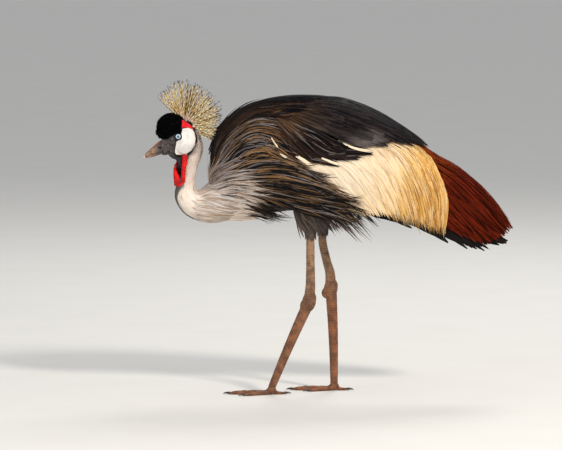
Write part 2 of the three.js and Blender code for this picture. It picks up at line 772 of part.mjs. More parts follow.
// A point at a distance along a toe, from the middle of the foot
function toePoint(h, toe, reach, z) {
  const turn = Math.PI + toe.turn * h.side;
  return [h.foot + Math.cos(turn) * reach, h.side * STANCE + Math.sin(turn) * reach, z];
}

function footSolid(h, tarsus) {
  const pieces = [ball(at(h.foot, h.side * STANCE, 8), 10, 9, 8.6, 8, 5)];
  for (const toe of TOES) {
    const stops = toeStops(TOE_LENGTHS[toe.name], toe.girth).map(([reach, z, r]) => [
      ...toePoint(h, toe, reach, z),
      r * TOE_DEPTH,
      r,
    ]);
    pieces.push(limb(stops, 6, stops.length - 1));
  }
  return largest(union(pieces).trimByPlane([0, 0, 1], 0).subtract(tarsus));
}

function clawSolid(h, toe) {
  const start = TOE_LENGTHS[toe.name] + GAP;
  const stops = [
    [0, CLAW_HEIGHT, 2.3],
    [CLAW_LENGTH * 0.15, CLAW_HEIGHT, 2.3],
    [CLAW_LENGTH * 0.5, CLAW_HEIGHT + 0.5, 2],
    [CLAW_LENGTH, 1.4, 0.6],
  ].map(([reach, z, r]) => [...toePoint(h, toe, start + reach, z), r, r]);
  return limb(stops, 5, 3);
}

// Thigh: the feathered part of the leg, with loose plumes that trail behind it
const THIGH_PLUMES = 4;

function thighSolid(h, torso, shank) {
  const stops = [
    [h.thigh + 22, h.side * 30, 420, 34, 24],
    [h.thigh + 12, h.side * 40, 388, 33, 23],
    [h.thigh + 3, h.side * 41, 358, 20, 16],
    [h.thigh - 1, h.side * 41, 334, 12.5, 12],
    [h.thigh - 1, h.side * 41, 316, 9.6, 9.4],
  ];
  const pieces = [limb(stops, 12, 6)];
  for (let i = 0; i < THIGH_PLUMES; i++) {
    const s = i / (THIGH_PLUMES - 1);
    const root = at(h.thigh + mix(-4, 34, s), h.side * mix(52, 42, s), 386);
    const tip = at(root.x + mix(20, 62, s), h.side * mix(56, 40, s), mix(322, 318, s) + (i % 2) * 7);
    const stations = [0, 0.35, 0.7, 1].map((t, k) => {
      const centre = root.clone().lerp(tip, t);
      centre.y += h.side * 9 * Math.sin(t * Math.PI);
      return { centre, normal: at(0, h.side, 0.1), width: [10, 13, 10, 2.4][k], thick: VANE };
    });
    pieces.push(strip(stations));
  }
  return largest(union(pieces).subtract(torso).subtract(shank));
}

// Assembly
const group = new THREE.Group();
group.name = "grey_crowned_crane";

function addNode(name, piece, paint) {
  const mesh = piece.getMesh();
  const positions = new Float32Array(mesh.numVert * 3);
  for (let i = 0; i < mesh.numVert; i++) {
    for (let k = 0; k < 3; k++) positions[3 * i + k] = mesh.vertProperties[i * mesh.numProp + k];
  }
  const geometry = new THREE.BufferGeometry();
  geometry.setAttribute("position", new THREE.BufferAttribute(positions, 3));
  geometry.setIndex(new THREE.BufferAttribute(new Uint32Array(mesh.triVerts), 1));
  geometry.computeVertexNormals();
  const node = new THREE.Mesh(geometry, new THREE.MeshStandardMaterial({ ...PAINT[paint], metalness: 0 }));
  node.name = name;
  group.add(node);
}

const { head, cheeks } = headSolids();
const headGrown = union([limb(HEAD, 14, 7, GAP), limb(CHIN, 8, 3, GAP), snout(FACE)]);
const torsoGrown = torsoSolid(TORSO_SIDES, GAP);
const [neckUpper, neckLower] = neckSolids(headGrown, torsoGrown);
const [upperBill, lowerBill] = billSolids();

addNode("head", head, "slate");
addNode("cap", capSolid().subtract(crestRoot(GAP)), "velvet");
addNode("crest", crestSolid(), "gold");
addNode("upper_bill", largest(upperBill.subtract(capSolid(GAP))), "horn");
addNode("lower_bill", lowerBill, "horn");
addNode("wattle", wattleSolid(headGrown, limb(NECK, 14, 12, GAP)), "scarlet");
addNode("neck_upper", neckUpper, "pale_grey");
addNode("neck_lower", neckLower, "pale_grey");
addNode("body", bodySolid(), "slate");
addNode("tail", tailSolid(torsoGrown), "black");
for (const h of LEGS) {
  const shankGrown = shankSolid(h, GAP);
  addNode(`cheek_${h.name}`, cheeks[h.side < 0 ? 0 : 1], "white_skin");
  addNode(`eye_${h.name}`, eyeBall(h.side), "iris");
  addNode(`wing_${h.name}`, wingSolid(h.side, torsoGrown), "cream");
  addNode(`secondaries_${h.name}`, secondariesSolid(h.side, torsoGrown), "chestnut");
  addNode(`primaries_${h.name}`, primariesSolid(h.side, torsoGrown), "black");
  addNode(`thigh_${h.name}`, thighSolid(h, torsoGrown, shankGrown), "slate");
  addNode(`shank_${h.name}`, shankSolid(h), "scaled_leg");
  addNode(`tarsus_${h.name}`, tarsusSolid(h), "scaled_leg");
  addNode(`foot_${h.name}`, footSolid(h, tarsusSolid(h, GAP)), "scaled_leg");
  for (const toe of TOES) addNode(`claw_${toe.name}_${h.name}`, clawSolid(h, toe), "horn");
}

export default group;
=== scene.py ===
# A grey crowned crane with its plumage, bare skin, bill, legs and crest.
# The bird's length runs along X with the bill towards -X. Its left side is towards -Y and the ground is at Z = 0.
# Tables are in millimetres and meshes in metres.
import json
import math
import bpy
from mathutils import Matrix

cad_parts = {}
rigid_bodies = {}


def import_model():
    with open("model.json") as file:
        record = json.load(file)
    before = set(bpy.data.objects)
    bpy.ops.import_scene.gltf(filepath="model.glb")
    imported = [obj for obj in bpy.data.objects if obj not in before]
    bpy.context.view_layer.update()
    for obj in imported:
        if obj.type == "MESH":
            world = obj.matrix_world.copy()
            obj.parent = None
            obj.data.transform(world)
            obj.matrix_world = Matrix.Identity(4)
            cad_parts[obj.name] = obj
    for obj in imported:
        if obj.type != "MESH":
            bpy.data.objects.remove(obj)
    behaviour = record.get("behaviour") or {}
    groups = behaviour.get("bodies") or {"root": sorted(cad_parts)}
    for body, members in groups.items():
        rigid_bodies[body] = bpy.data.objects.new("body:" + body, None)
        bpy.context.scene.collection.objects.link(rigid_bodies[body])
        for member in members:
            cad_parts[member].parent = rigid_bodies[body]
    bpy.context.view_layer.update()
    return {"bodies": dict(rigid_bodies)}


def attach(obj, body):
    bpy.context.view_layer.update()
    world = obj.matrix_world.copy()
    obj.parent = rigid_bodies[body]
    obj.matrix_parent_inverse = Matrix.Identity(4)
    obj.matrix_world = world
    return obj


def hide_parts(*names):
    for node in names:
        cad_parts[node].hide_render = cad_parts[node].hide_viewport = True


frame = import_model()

from types import SimpleNamespace as Named

import bpy
import numpy as np
from mathutils import Vector
from mathutils.bvhtree import BVHTree

MM = 0.001
PI = math.pi
SIDES = ((-1, "left"), (1, "right"))
BODY = next(iter(frame["bodies"]))


# Colours

def srgb(red, green, blue):
    """A colour from 0 to 255 as linear values."""
    c = np.array([red, green, blue], float) / 255
    return np.where(c <= 0.04045, c / 12.92, ((c + 0.055) / 1.055) ** 2.4)


SLATE = srgb(64, 56, 54)
SLATE_DARK = srgb(16, 12, 13)
MANTLE_BLACK = srgb(8, 5, 10)
MANTLE_BROWN = srgb(50, 31, 21)
HACKLE_GREY = srgb(150, 138, 134)
HACKLE_GOLD = srgb(166, 126, 86)
SHAFT_GREY = srgb(176, 165, 160)
COVERT_WHITE = srgb(240, 222, 196)
COVERT_CREAM = srgb(238, 208, 164)
COVERT_GOLD = srgb(198, 142, 64)
COVERT_STRAW = srgb(232, 190, 118)
COVERT_DEEP_GOLD = srgb(146, 92, 34)
CHESTNUT = srgb(98, 28, 8)
CHESTNUT_DARK = srgb(40, 9, 3)
# Painted highlight colour for the upper front edge of the chestnut plumes.
CHESTNUT_HIGHLIGHT = srgb(172, 72, 22)
QUILL_BLACK = srgb(11, 8, 8)
NECK_GREY = srgb(218, 201, 189)
# Dark neck grey: the colour of some neck and breast feathers, and also painted shade under the cheek's rim.
DARK_NECK_GREY_AND_SHADE = srgb(120, 105, 98)
BREAST_GREY = srgb(244, 228, 213)
BREAST_TAN = srgb(158, 112, 66)
THROAT_SLATE = srgb(60, 56, 60)
FACE_SLATE = srgb(70, 62, 62)
CHEEK_WHITE = srgb(236, 229, 224)
CHEEK_BUFF = srgb(222, 196, 160)
PATCH_RED = srgb(236, 14, 34)
RIM_BLACK = srgb(12, 10, 12)
SHEEN_VIOLET = srgb(50, 44, 50)
VELVET = srgb(5, 5, 6)
WATTLE_RED = srgb(250, 12, 6)
LEG_BROWN = srgb(130, 92, 64)
LEG_RED = srgb(143, 86, 52)
LEG_GREY = srgb(124, 104, 90)
LEG_TAN = srgb(160, 124, 94)


# Curves and surfaces

def slopes(x, y):
    """The slopes of smooth curves at their points, of which x (..., K) holds the variable and y (..., K, D) the
    values."""
    slope = np.empty_like(y)
    slope[..., 1:-1, :] = (y[..., 2:, :] - y[..., :-2, :]) / (x[..., 2:] - x[..., :-2])[..., None]
    for end, near in ((0, 1), (-1, -2)):
        slope[..., end, :] = (y[..., end, :] - y[..., near, :]) / (x[..., end] - x[..., near])[..., None]
    return slope


def hermite(y0, y1, slope0, slope1, span, t):
    t2, t3 = t * t, t * t * t
    return ((2 * t3 - 3 * t2 + 1) * y0 + (t3 - 2 * t2 + t) * span * slope0
            + (3 * t2 - 2 * t3) * y1 + (t3 - t2) * span * slope1)


def smooth_table(rows):
    """A smooth function through the rows of a table, whose first column is the variable."""
    rows = np.asarray(rows, float)
    x, y = rows[:, 0], rows[:, 1:]
    slope = slopes(x, y)

    def value(v):
        v = np.asarray(v, float)
        i = np.clip(np.searchsorted(x, v, side="right") - 1, 0, len(x) - 2)
        span = (x[i + 1] - x[i])[..., None]
        t = np.clip((v - x[i])[..., None] / span, 0, 1)
        return hermite(y[i], y[i + 1], slope[i], slope[i + 1], span, t)

    return value


def even_table(rows):
    """A smooth function through rows at even steps from 0 to 1."""
    return smooth_table([[i / (len(rows) - 1), *np.atleast_1d(row)] for i, row in enumerate(rows)])


def stacked(*parts):
    """Coordinates, spread to one shape, as one array of points."""
    return np.stack(np.broadcast_arrays(*parts), -1)


def circle(steps):
    return np.linspace(0, 2 * PI, steps, endpoint=False)


def steps(stations):
    """Shares along a feather as a row."""
    return np.linspace(0, 1, stations)[None]


def unit(v):
    return v / np.maximum(np.linalg.norm(v, axis=-1, keepdims=True), 1e-9)


def mix(a, b, t):
    return a + (b - a) * t


def ease(low, high, v):
    """Rises smoothly from 0 at low to 1 at high."""
    t = np.clip((np.asarray(v, float) - low) / (high - low), 0, 1)
    return t * t * (3 - 2 * t)


# The trunk: x, top, bottom, half width
TORSO = [
    [-234, 486, 446, 14], [-226, 515, 396, 32], [-210, 538, 360, 46], [-185, 557, 351, 59],
    [-150, 572, 356, 68], [-105, 581, 365, 73], [-55, 584, 369, 75], [-5, 579, 371, 73],
    [45, 564, 377, 67], [90, 540, 388, 57], [125, 516, 404, 44], [150, 495, 424, 28], [166, 480, 442, 12],
]
torso_at = smooth_table(TORSO)
TORSO_SQUARE = 0.92


def torso_point(x, angle, side=1, lift=0.0):
    """A point on the trunk. The angle is 0 on the ridge of the back and pi under the belly."""
    top, bottom, half = np.moveaxis(torso_at(x), -1, 0)
    c, s = np.cos(angle), np.sin(angle)
    y = side * (half + lift) * np.sign(s) * np.abs(s) ** TORSO_SQUARE
    return stacked(x, y, (top + bottom) / 2 + ((top - bottom) / 2 + lift) * np.sign(c) * np.abs(c) ** TORSO_SQUARE)


def torso_normal(x, angle, side):
    return unit(torso_point(x, angle, side, 3.0) - torso_point(x, angle, side))


# The cloak, on which the folded wings and the long body plumes lie:
# x, ridge, level of greatest width, lower edge, half width
CLOAK = [
    [-240, 480, 450, 425, 12], [-228, 518, 458, 412, 34], [-205, 545, 466, 400, 54], [-170, 567, 474, 392, 72],
    [-130, 581, 478, 386, 83], [-90, 588, 480, 382, 88], [-40, 590, 480, 378, 90], [10, 585, 477, 372, 89],
    [60, 571, 470, 364, 85], [110, 547, 458, 354, 79], [160, 515, 441, 342, 72], [210, 479, 420, 326, 64],
    [260, 450, 396, 306, 54], [310, 408, 364, 288, 41], [350, 362, 332, 290, 26], [372, 326, 314, 300, 13],
]
cloak_at = smooth_table(CLOAK)
CLOAK_SQUARE = 0.86
CLOAK_TUCK = 0.14
CLOAK_ARC = 190  # typical distance over the side of the cloak from q = 0 to q = 1


def cloak_base(x, q, side):
    """A point on the cloak. q is 0 on the ridge, 0.5 at the greatest width and 1 at the lower edge."""
    top, wide, low, half = np.moveaxis(cloak_at(x), -1, 0)
    a = np.clip(np.abs(q), 0, 0.5) * PI
    t = np.clip((q - 0.5) * 2, 0, 1.5)
    above = np.sign(q) * half * np.sin(a) ** CLOAK_SQUARE
    rise = wide + (top - wide) * np.maximum(np.cos(a), 0) ** CLOAK_SQUARE
    return stacked(x, side * np.where(q <= 0.5, above, half * (1 - CLOAK_TUCK * t * t)),
                   np.where(q <= 0.5, rise, wide - (wide - low) * t))


def cloak_normal(x, q, side):
    along = cloak_base(x + 2, q, side) - cloak_base(x - 2, q, side)
    around = cloak_base(x, q + 0.01, side) - cloak_base(x, q - 0.01, side)
    return unit(np.cross(along, around) * side)


def q_at(x, z):
    top, wide, low, _ = cloak_at(x)
    if z <= wide:
        return 0.5 + 0.5 * (wide - z) / (wide - low)
    return math.acos(min(max((z - wide) / (top - wide), 0), 1) ** (1 / CLOAK_SQUARE)) / PI


def along_route(points, t):
    """Points at shares t (N, T) of smooth curves through route points (N, K, D)."""
    chord = np.maximum(np.linalg.norm(np.diff(points, axis=1), axis=2), 1e-6)
    u = np.concatenate([np.zeros((len(points), 1)), np.cumsum(chord, 1)], 1)
    u /= u[:, -1:]
    slope = slopes(u, points)
    i = (t[..., None] >= u[:, None, 1:-1]).sum(-1)
    row = np.arange(len(points))[:, None]
    span = (u[row, i + 1] - u[row, i])[..., None]
    f = (t - u[row, i])[..., None] / span
    return hermite(points[row, i], points[row, i + 1], slope[row, i], slope[row, i + 1], span, f)


def blend_routes(keys, s):
    """Routes part of the way through a list of key routes, as (N, K, 2) of x and distance down the cloak.
    A key runs x, z, x, z as seen from the side, with q in place of z near the ridge."""
    table = np.array([[(x, (v if v < 2 else q_at(x, v)) * CLOAK_ARC) for x, v in zip(key[::2], key[1::2])]
                      for key in keys], float)
    f = np.clip(s, 0, 1) * (len(keys) - 1)
    i = np.minimum(f.astype(int), len(keys) - 2)
    w = (f - i)[:, None, None]
    return table[i] * (1 - w) + table[i + 1] * w


# Meshes

def outward(points, faces):
    """The faces turned so that the closed surface they make faces out."""
    total = 0.0
    for group in faces:
        for k in range(1, group.shape[1] - 1):
            a, b, c = points[group[:, 0]], points[group[:, k]], points[group[:, k + 1]]
            total += np.einsum("ij,ij->", a, np.cross(b, c))
    return [group[:, ::-1] for group in faces] if total < 0 else faces


def new_object(name, data):
    obj = bpy.data.objects.new(name, data)
    bpy.context.scene.collection.objects.link(obj)
    return obj


def read(items, key, width, kind=np.float32):
    """One property of a mesh's points, corners or triangles, as rows of so many values."""
    values = np.empty(len(items) * width, kind)
    items.foreach_get(key, values)
    return values.reshape(-1, width)


def write(items, key, values):
    items.foreach_set(key, values.astype(np.float32).ravel())


def shade_smooth(mesh):
    mesh.polygons.foreach_set("use_smooth", np.ones(len(mesh.polygons), bool))


def make_mesh(name, points, faces):
    """An object from points in millimetres and groups of faces with equal numbers of corners."""
    mesh = bpy.data.meshes.new(name)
    mesh.vertices.add(len(points))
    write(mesh.vertices, "co", np.asarray(points, float) * MM)
    corners = np.concatenate([group.ravel() for group in faces])
    counts = np.concatenate([np.full(len(group), group.shape[1]) for group in faces])
    mesh.loops.add(len(corners))
    mesh.loops.foreach_set("vertex_index", corners)
    mesh.polygons.add(len(counts))
    mesh.polygons.foreach_set("loop_start", np.concatenate([[0], np.cumsum(counts)[:-1]]))
    mesh.update(calc_edges=True)
    shade_smooth(mesh)
    return new_object(name, mesh)


def skin_rings(rings):
    """Points and faces of a closed surface over rings (R, S, 3), with a fan at each end."""
    count, sides = rings.shape[:2]
    points = np.concatenate([rings.reshape(-1, 3), rings[0].mean(0)[None], rings[-1].mean(0)[None]])
    i = np.arange(count - 1)[:, None] * sides
    k = np.arange(sides)[None]
    n = (k + 1) % sides
    quads = np.stack([i + k, i + n, i + sides + n, i + sides + k], -1).reshape(-1, 4)
    last = (count - 1) * sides
    start = np.stack([np.full(sides, count * sides), n[0], k[0]], -1)
    end = np.stack([np.full(sides, count * sides + 1), last + k[0], last + n[0]], -1)
    return points, outward(points, [quads, np.concatenate([start, end])])


def joined(shapes):
    """Several (points, faces) as one."""
    points, groups, base = [], {}, 0
    for p, faces in shapes:
        points.append(p)
        for group in faces:
            groups.setdefault(group.shape[1], []).append(group + base)
        base += len(p)
    return np.concatenate(points), [np.concatenate(groups[k]) for k in sorted(groups)]


def tube_point(table, t, angle, lift=0.0):
    """A point on a tube along a path near a plane of constant Y. The table gives x, y, z, half depth, half width."""
    row = table(t)
    ahead = unit(table(np.clip(t + 0.01, 0, 1))[..., :3] - table(np.clip(t - 0.01, 0, 1))[..., :3])
    up = unit(np.cross([0.0, 1.0, 0.0], ahead))
    across = unit(np.cross(ahead, up))
    c, s = np.cos(angle)[..., None], np.sin(angle)[..., None]
    return row[..., :3] + up * (row[..., 3:4] + lift) * c + across * (row[..., 4:5] + lift) * s


def tube(stops, sides, along, shrink=0.0):
    t, a = np.linspace(0, 1, along + 1)[:, None], circle(sides)[None]
    return skin_rings(tube_point(even_table(stops), t, a, -shrink))


def ellipsoid(centre, radii, tilt=0.0, sides=32, rings=16):
    """An ellipsoid whose long axis slopes in the plane of the profile."""
    v, a = np.linspace(0.02, PI - 0.02, rings)[:, None], circle(sides)[None]
    x, y, z = np.moveaxis(stacked(np.sin(v) * np.cos(a), np.sin(v) * np.sin(a), np.cos(v)) * radii, -1, 0)
    c, s = math.cos(tilt), math.sin(tilt)
    return skin_rings(stacked(x * c + z * s, y, -x * s + z * c) + centre)


def apply_modifiers(obj):
    """The object with its modifiers made part of its mesh."""
    graph = bpy.context.evaluated_depsgraph_get()
    mesh = bpy.data.meshes.new_from_object(obj.evaluated_get(graph), depsgraph=graph)
    obj.modifiers.clear()
    old = obj.data
    obj.data = mesh
    mesh.name = obj.name
    bpy.data.meshes.remove(old)
    return obj


def fused(name, shapes, voxel, smoothing):
    """Overlapping closed shapes as one surface, smoothed where they meet."""
    obj = make_mesh(name, *joined(shapes))
    remesh = obj.modifiers.new("fuse", "REMESH")
    remesh.mode = "VOXEL"
    remesh.voxel_size = voxel * MM
    relax = obj.modifiers.new("relax", "SMOOTH")
    relax.factor = 0.5
    relax.iterations = smoothing
    apply_modifiers(obj)
    shade_smooth(obj.data)
    return obj


def get_points(obj):
    return read(obj.data.vertices, "co", 3).astype(float) / MM


def get_normals(obj):
    return read(obj.data.vertices, "normal", 3).astype(float)


def set_points(obj, points):
    write(obj.data.vertices, "co", points * MM)
    obj.data.update()


def paint(obj, name, colours):
    """Stores a colour for each point of the mesh."""
    layer = obj.data.attributes.new(name, "FLOAT_COLOR", "POINT")
    write(layer.data, "color", np.concatenate([np.clip(colours, 0, 1), np.ones((len(colours), 1))], 1))


def add_map(obj, name, places):
    write(obj.data.uv_layers.new(name=name).data, "uv", places)


def finish_piece(obj, slot, *nodes, material=None):
    if material is not None:
        obj.data.materials.append(material)
    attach(obj, BODY)
    if nodes:
        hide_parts(*nodes)


# Feathers

def blades(centres, normals, halves, thick=0.5, camber=0.22, tilt=0.0):
    """Thin closed vanes along centres (N, T, 3): at each station the left edge, ridge, right edge and keel."""
    ahead = unit(np.gradient(centres, axis=1))
    across = unit(np.cross(ahead, normals))
    up = unit(np.cross(across, ahead))
    w = halves[..., None]
    crown = up * (w * camber)
    lean = up * (w * tilt)
    body = up * np.minimum(thick / 2, w * 0.5)
    left = centres - across * w + lean
    right = centres + across * w - lean
    return np.stack([left, centres + crown + body, right, centres + crown - body], 2)


def blade_faces(stations):
    """The quads of one vane and the place of each corner across and along it."""
    quads, places = [], []
    across = (0.0, 0.5, 1.0, 0.5)
    wrap = {(3, 0): (0.5, 0.0)}
    for i in range(stations - 1):
        for a in range(4):
            b = (a + 1) % 4
            ua, ub = wrap.get((a, b), (across[a], across[b]))
            quads.append((4 * i + a, 4 * i + b, 4 * i + 4 + b, 4 * i + 4 + a))
            v0, v1 = i / (stations - 1), (i + 1) / (stations - 1)
            places.append(((ua, v0), (ub, v0), (ub, v1), (ua, v1)))
    last = 4 * (stations - 1)
    quads.append((3, 2, 1, 0))
    places.append(((0.5, 0.0), (1.0, 0.0), (0.5, 0.0), (0.0, 0.0)))
    quads.append((last, last + 1, last + 2, last + 3))
    places.append(((0.0, 1.0), (0.5, 1.0), (1.0, 1.0), (0.5, 1.0)))
    return np.array(quads), np.array(places)


BAKE_PATCH = 0.003  # size of one feather's patch on the bake map
BAKE_INSIDE = (0.004, 0.996)
VANE_CREASE = math.radians(70)
EDGE_CREASE = math.radians(50)


class Coat:
    """Feathers or tufts gathered into one piece, on one side of the bird or on both."""

    def __init__(self, side=1):
        self.side, self.base = side, 0
        self.points, self.quads, self.maps, self.colours = [], [], [[], []], [[], []]

    def add(self, vanes, ground, trim, home):
        """Vanes (N, T, 4, 3), ground and trim colours that spread to (N, T, 3), and homes (N, 2) on the bake map."""
        n, t = vanes.shape[:2]
        quads, places = blade_faces(t)
        if outward(vanes[0].reshape(-1, 3), [quads])[0][0, 0] != quads[0, 0]:
            quads, places = quads[:, ::-1], places[:, ::-1]
        self.points.append(vanes.reshape(-1, 3))
        self.quads.append((quads[None] + self.base + np.arange(n)[:, None, None] * 4 * t).reshape(-1, 4))
        spread = np.broadcast_to(places[None], (n, *places.shape))
        patch = np.clip(home, *BAKE_INSIDE)[:, None, None, :] + (spread - 0.5) * BAKE_PATCH
        for store, values in zip(self.maps, (spread, patch)):
            store.append(values.reshape(-1, 2))
        for store, colour in zip(self.colours, (ground, trim)):
            store.append(np.repeat(np.broadcast_to(colour, (n, t, 3)), 4, 1).reshape(-1, 3))
        self.base += n * 4 * t

    def make(self, name, material, slot, *nodes):
        obj = make_mesh(name, np.concatenate(self.points), [np.concatenate(self.quads)])
        for layer, values in zip(("vane", "OFBake"), self.maps):
            add_map(obj, layer, np.concatenate(values))
        for layer, values in zip(("ground", "trim"), self.colours):
            paint(obj, layer, np.concatenate(values))
        obj.data.set_sharp_from_angle(angle=VANE_CREASE)
        finish_piece(obj, slot, *nodes, material=material)


def feather_shape(t, waist, point, belly=0.5, power=1.6):
    """Half width of a feather along its length, as a share of its greatest half width."""
    rising = waist + (1 - waist) * np.sin(np.clip(t / belly, 0, 1) * PI / 2)
    falling = 1 + (point - 1) * np.clip((t - belly) / (1 - belly), 0, 1) ** power
    return np.where(t < belly, rising, falling)


def cloak_home(side, x, q):
    u = 0.01 + 0.48 * np.clip((x + 250) / 640, 0, 1) + (0.5 if side > 0 else 0)
    return stacked(u, 0.01 + 0.98 * np.clip(q / 1.4, 0, 1))


def lay_tract(coat, keys, rows, count, starts, reach, width, lifts, colour, seed, stations=7, rise=2.5,
              waist=0.5, point=0.06, belly=0.5, power=1.6, slope=0.1, wander=0.02, thick=0.5, reach_jitter=0.12,
              span=(0, 1), beyond=0.0):
    """Rows of feathers that follow key routes over the cloak. starts gives the first and the last row's place
    along the routes, reach the share of the route that a feather covers, and lifts its height over the cloak
    at even steps along the whole route. colour turns (x, z, along, across, random) into ground and trim."""
    side = coat.side
    rng = np.random.default_rng(seed + side)
    lift_at = even_table(lifts)
    t = steps(stations)
    for r in range(rows):
        s = (np.arange(count) + 0.25 + 0.5 * (r % 2) + rng.uniform(-0.35, 0.35, count)) / count
        s = mix(span[0], span[1], np.clip(s, 0, 1))
        f0 = np.clip(mix(starts[0], starts[1], r / max(rows - 1, 1)) + rng.uniform(-0.03, 0.03, count), 0, 0.96)
        f1 = np.minimum(f0 + reach * (1 + rng.uniform(-reach_jitter, reach_jitter, count)), 1 + beyond)
        f = f0[:, None] + (np.maximum(f1, f0 + 0.06) - f0)[:, None] * t
        route = along_route(blend_routes(keys, s), f)
        sway = rng.normal(0, wander, (count, 1)) * t * t
        x, q = route[..., 0] + sway * CLOAK_ARC * 0.25, route[..., 1] / CLOAK_ARC + sway
        lift = lift_at(f)[..., 0] + rise * t + rng.uniform(-0.7, 0.7, (count, 1))
        lift = lift + rng.uniform(0, 0.8, (count, 1)) * t * t
        normals = cloak_normal(x, q, side)
        centres = cloak_base(x, q, side) + normals * lift[..., None]
        halves = width / 2 * rng.uniform(0.8, 1.15, (count, 1)) * feather_shape(t, waist, point, belly, power)
        tone = rng.uniform(0, 1, (count, 1))
        ground, trim = colour(x, centres[..., 2], t, s[:, None], tone)
        coat.add(blades(centres, normals, halves, thick, tilt=slope * side), ground, trim,
                 cloak_home(side, x[:, 0], q[:, 0]))


def fade(a, b, t):
    """A mix of two colours, or arrays of colours, by a share for each point."""
    return a + (b - a) * np.clip(t, 0, 1)[..., None]

def layers(base, *coats):
    """A colour with other colours over it, each by its share for each point."""
    for colour, share in coats:
        base = fade(base, colour, share)
    return base


def speckle(base, tone, amount):
    """The colours lighter or darker from feather to feather."""
    return base * (1 - amount + 2 * amount * tone)[..., None]


# Materials

def add_node(tree, kind, values=None, **settings):
    """Adds a node. A signal among its values is linked to the input, and anything else is set on it."""
    node = tree.nodes.new(kind)
    for key, value in settings.items():
        setattr(node, key, value)
    for key, value in (values or {}).items():
        if isinstance(value, Signal):
            tree.links.new(value.socket, node.inputs[key])
        else:
            node.inputs[key].default_value = (*value.tolist(), 1.0) if isinstance(value, np.ndarray) else value
    return node


def put(tree, kind, values=None, out=0, **settings):
    return Signal(tree, add_node(tree, kind, values, **settings).outputs[out])


def signals(tree, node):
    return {socket.name: Signal(tree, socket) for socket in node.outputs}


class Signal:
    """An output in a node tree, with which sums are written as sums."""

    def __init__(self, tree, socket):
        self.tree, self.socket = tree, socket

    def maths(self, operation, *others):
        return put(self.tree, "ShaderNodeMath", dict(enumerate((self, *others))), operation=operation)

    def __add__(self, other):
        return self.maths("ADD", other)

    def __sub__(self, other):
        return self.maths("SUBTRACT", other)

    def __rsub__(self, other):
        return put(self.tree, "ShaderNodeMath", {0: other, 1: self}, operation="SUBTRACT")

    def __mul__(self, other):
        return self.maths("MULTIPLY", other)

    def __truediv__(self, other):
        return self.maths("DIVIDE", other)

    def __abs__(self):
        return self.maths("ABSOLUTE")

    def scaled(self, share):
        return put(self.tree, "ShaderNodeVectorMath", {0: self, 3: share}, operation="SCALE")

    def split(self):
        return [Signal(self.tree, part) for part in add_node(self.tree, "ShaderNodeSeparateXYZ", {0: self}).outputs]

    def ramp(self, low, high, to_low=0.0, to_high=1.0):
        """A smooth step between two limits."""
        values = {"Value": self, "From Min": low, "From Max": high, "To Min": to_low, "To Max": to_high}
        return put(self.tree, "ShaderNodeMapRange", values, interpolation_type="SMOOTHSTEP")

    def over(self, ground, top):
        """The top colour over the ground, by this share."""
        return put(self.tree, "ShaderNodeMix", {0: self, 6: ground, 7: top}, 2, data_type="RGBA")


def object_place(tree):
    return put(tree, "ShaderNodeTexCoord", out="Object")


def vane_place(tree):
    return put(tree, "ShaderNodeUVMap", uv_map="vane").split()


def noise(tree, place, scale, detail, rough=0.5, distortion=0.0):
    return put(tree, "ShaderNodeTexNoise", {"Vector": place, "Scale": scale, "Detail": detail, "Roughness": rough,
                                            "Distortion": distortion})


def new_group(name, kind, inputs, outputs):
    """A node group with named inputs (name, kind, value) and outputs (name, kind)."""
    group = bpy.data.node_groups.new(name, kind)
    for label, socket, value in inputs:
        made = group.interface.new_socket(label, in_out="INPUT", socket_type=f"NodeSocket{socket}")
        if value is not None:
            made.default_value = value
    for label, socket in outputs:
        group.interface.new_socket(label, in_out="OUTPUT", socket_type=f"NodeSocket{socket}")
    return group, signals(group, add_node(group, "NodeGroupInput"))


def marks_group(name, inputs, outputs):
    return new_group(name, "ShaderNodeTree", [(label, "Float", value) for label, value in inputs.items()],
                     [(label, "Float") for label in outputs])


def feather_marks():
    """Barbs, shaft and edges of a vane, from its own map across and along."""
    inputs = {"Barb Fineness": 14.0, "Barb Slant": 1.6, "Edge Width": 0.3, "Shaft Width": 0.07}
    group, given = marks_group("feather_marks", inputs, ("Barbs", "Edge", "Shaft", "Height"))
    across, along, _ = vane_place(group)
    off = abs(across - 0.5)
    run = (along - off * given["Barb Slant"]) * given["Barb Fineness"]
    spot = put(group, "ShaderNodeCombineXYZ", {0: across * 2.5, 1: run, 2: 0.0})
    spot = put(group, "ShaderNodeVectorMath", {0: spot, 1: object_place(group).scaled(45.0)}, operation="ADD")
    barbs = noise(group, spot, 1.0, 3.0, 0.6).ramp(0.3, 0.7)
    shaft = off.ramp(given["Shaft Width"], 0.0)
    add_node(group, "NodeGroupOutput", {"Barbs": barbs, "Edge": off.ramp(0.5 - given["Edge Width"], 0.5),
                                        "Shaft": shaft * along.ramp(0.96, 0.75), "Height": barbs * 0.5 + shaft})
    return group


def skin_marks():
    """Wrinkles, pores and blotches of bare skin."""
    inputs = {"Pore Fineness": 900.0, "Wrinkle Fineness": 180.0, "Blotch Size": 60.0}
    group, given = marks_group("skin_marks", inputs, ("Pores", "Wrinkles", "Blotch", "Height"))
    place = object_place(group)
    pores = put(group, "ShaderNodeTexVoronoi", {"Vector": place, "Scale": given["Pore Fineness"]}, "Distance",
                feature="DISTANCE_TO_EDGE").ramp(0.0, 0.22)
    folds = noise(group, place, given["Wrinkle Fineness"], 5.0, 0.65, 0.8)
    add_node(group, "NodeGroupOutput", {"Pores": pores, "Wrinkles": folds,
                                        "Blotch": noise(group, place, given["Blotch Size"], 4.0).ramp(0.3, 0.7),
                                        "Height": pores * 0.6 + folds})
    return group


FEATHER_MARKS = feather_marks()
SKIN_MARKS = skin_marks()


def marks_of(tree, group, values=None):
    return signals(tree, add_node(tree, "ShaderNodeGroup", values, node_tree=group))


def new_material(name, rough, **constants):
    material = bpy.data.materials.new(name)
    material.use_nodes = True
    for key, value in {"Roughness": rough, **constants}.items():
        material.node_tree.nodes["Principled BSDF"].inputs[key.replace("_", " ")].default_value = value
    return material, material.node_tree


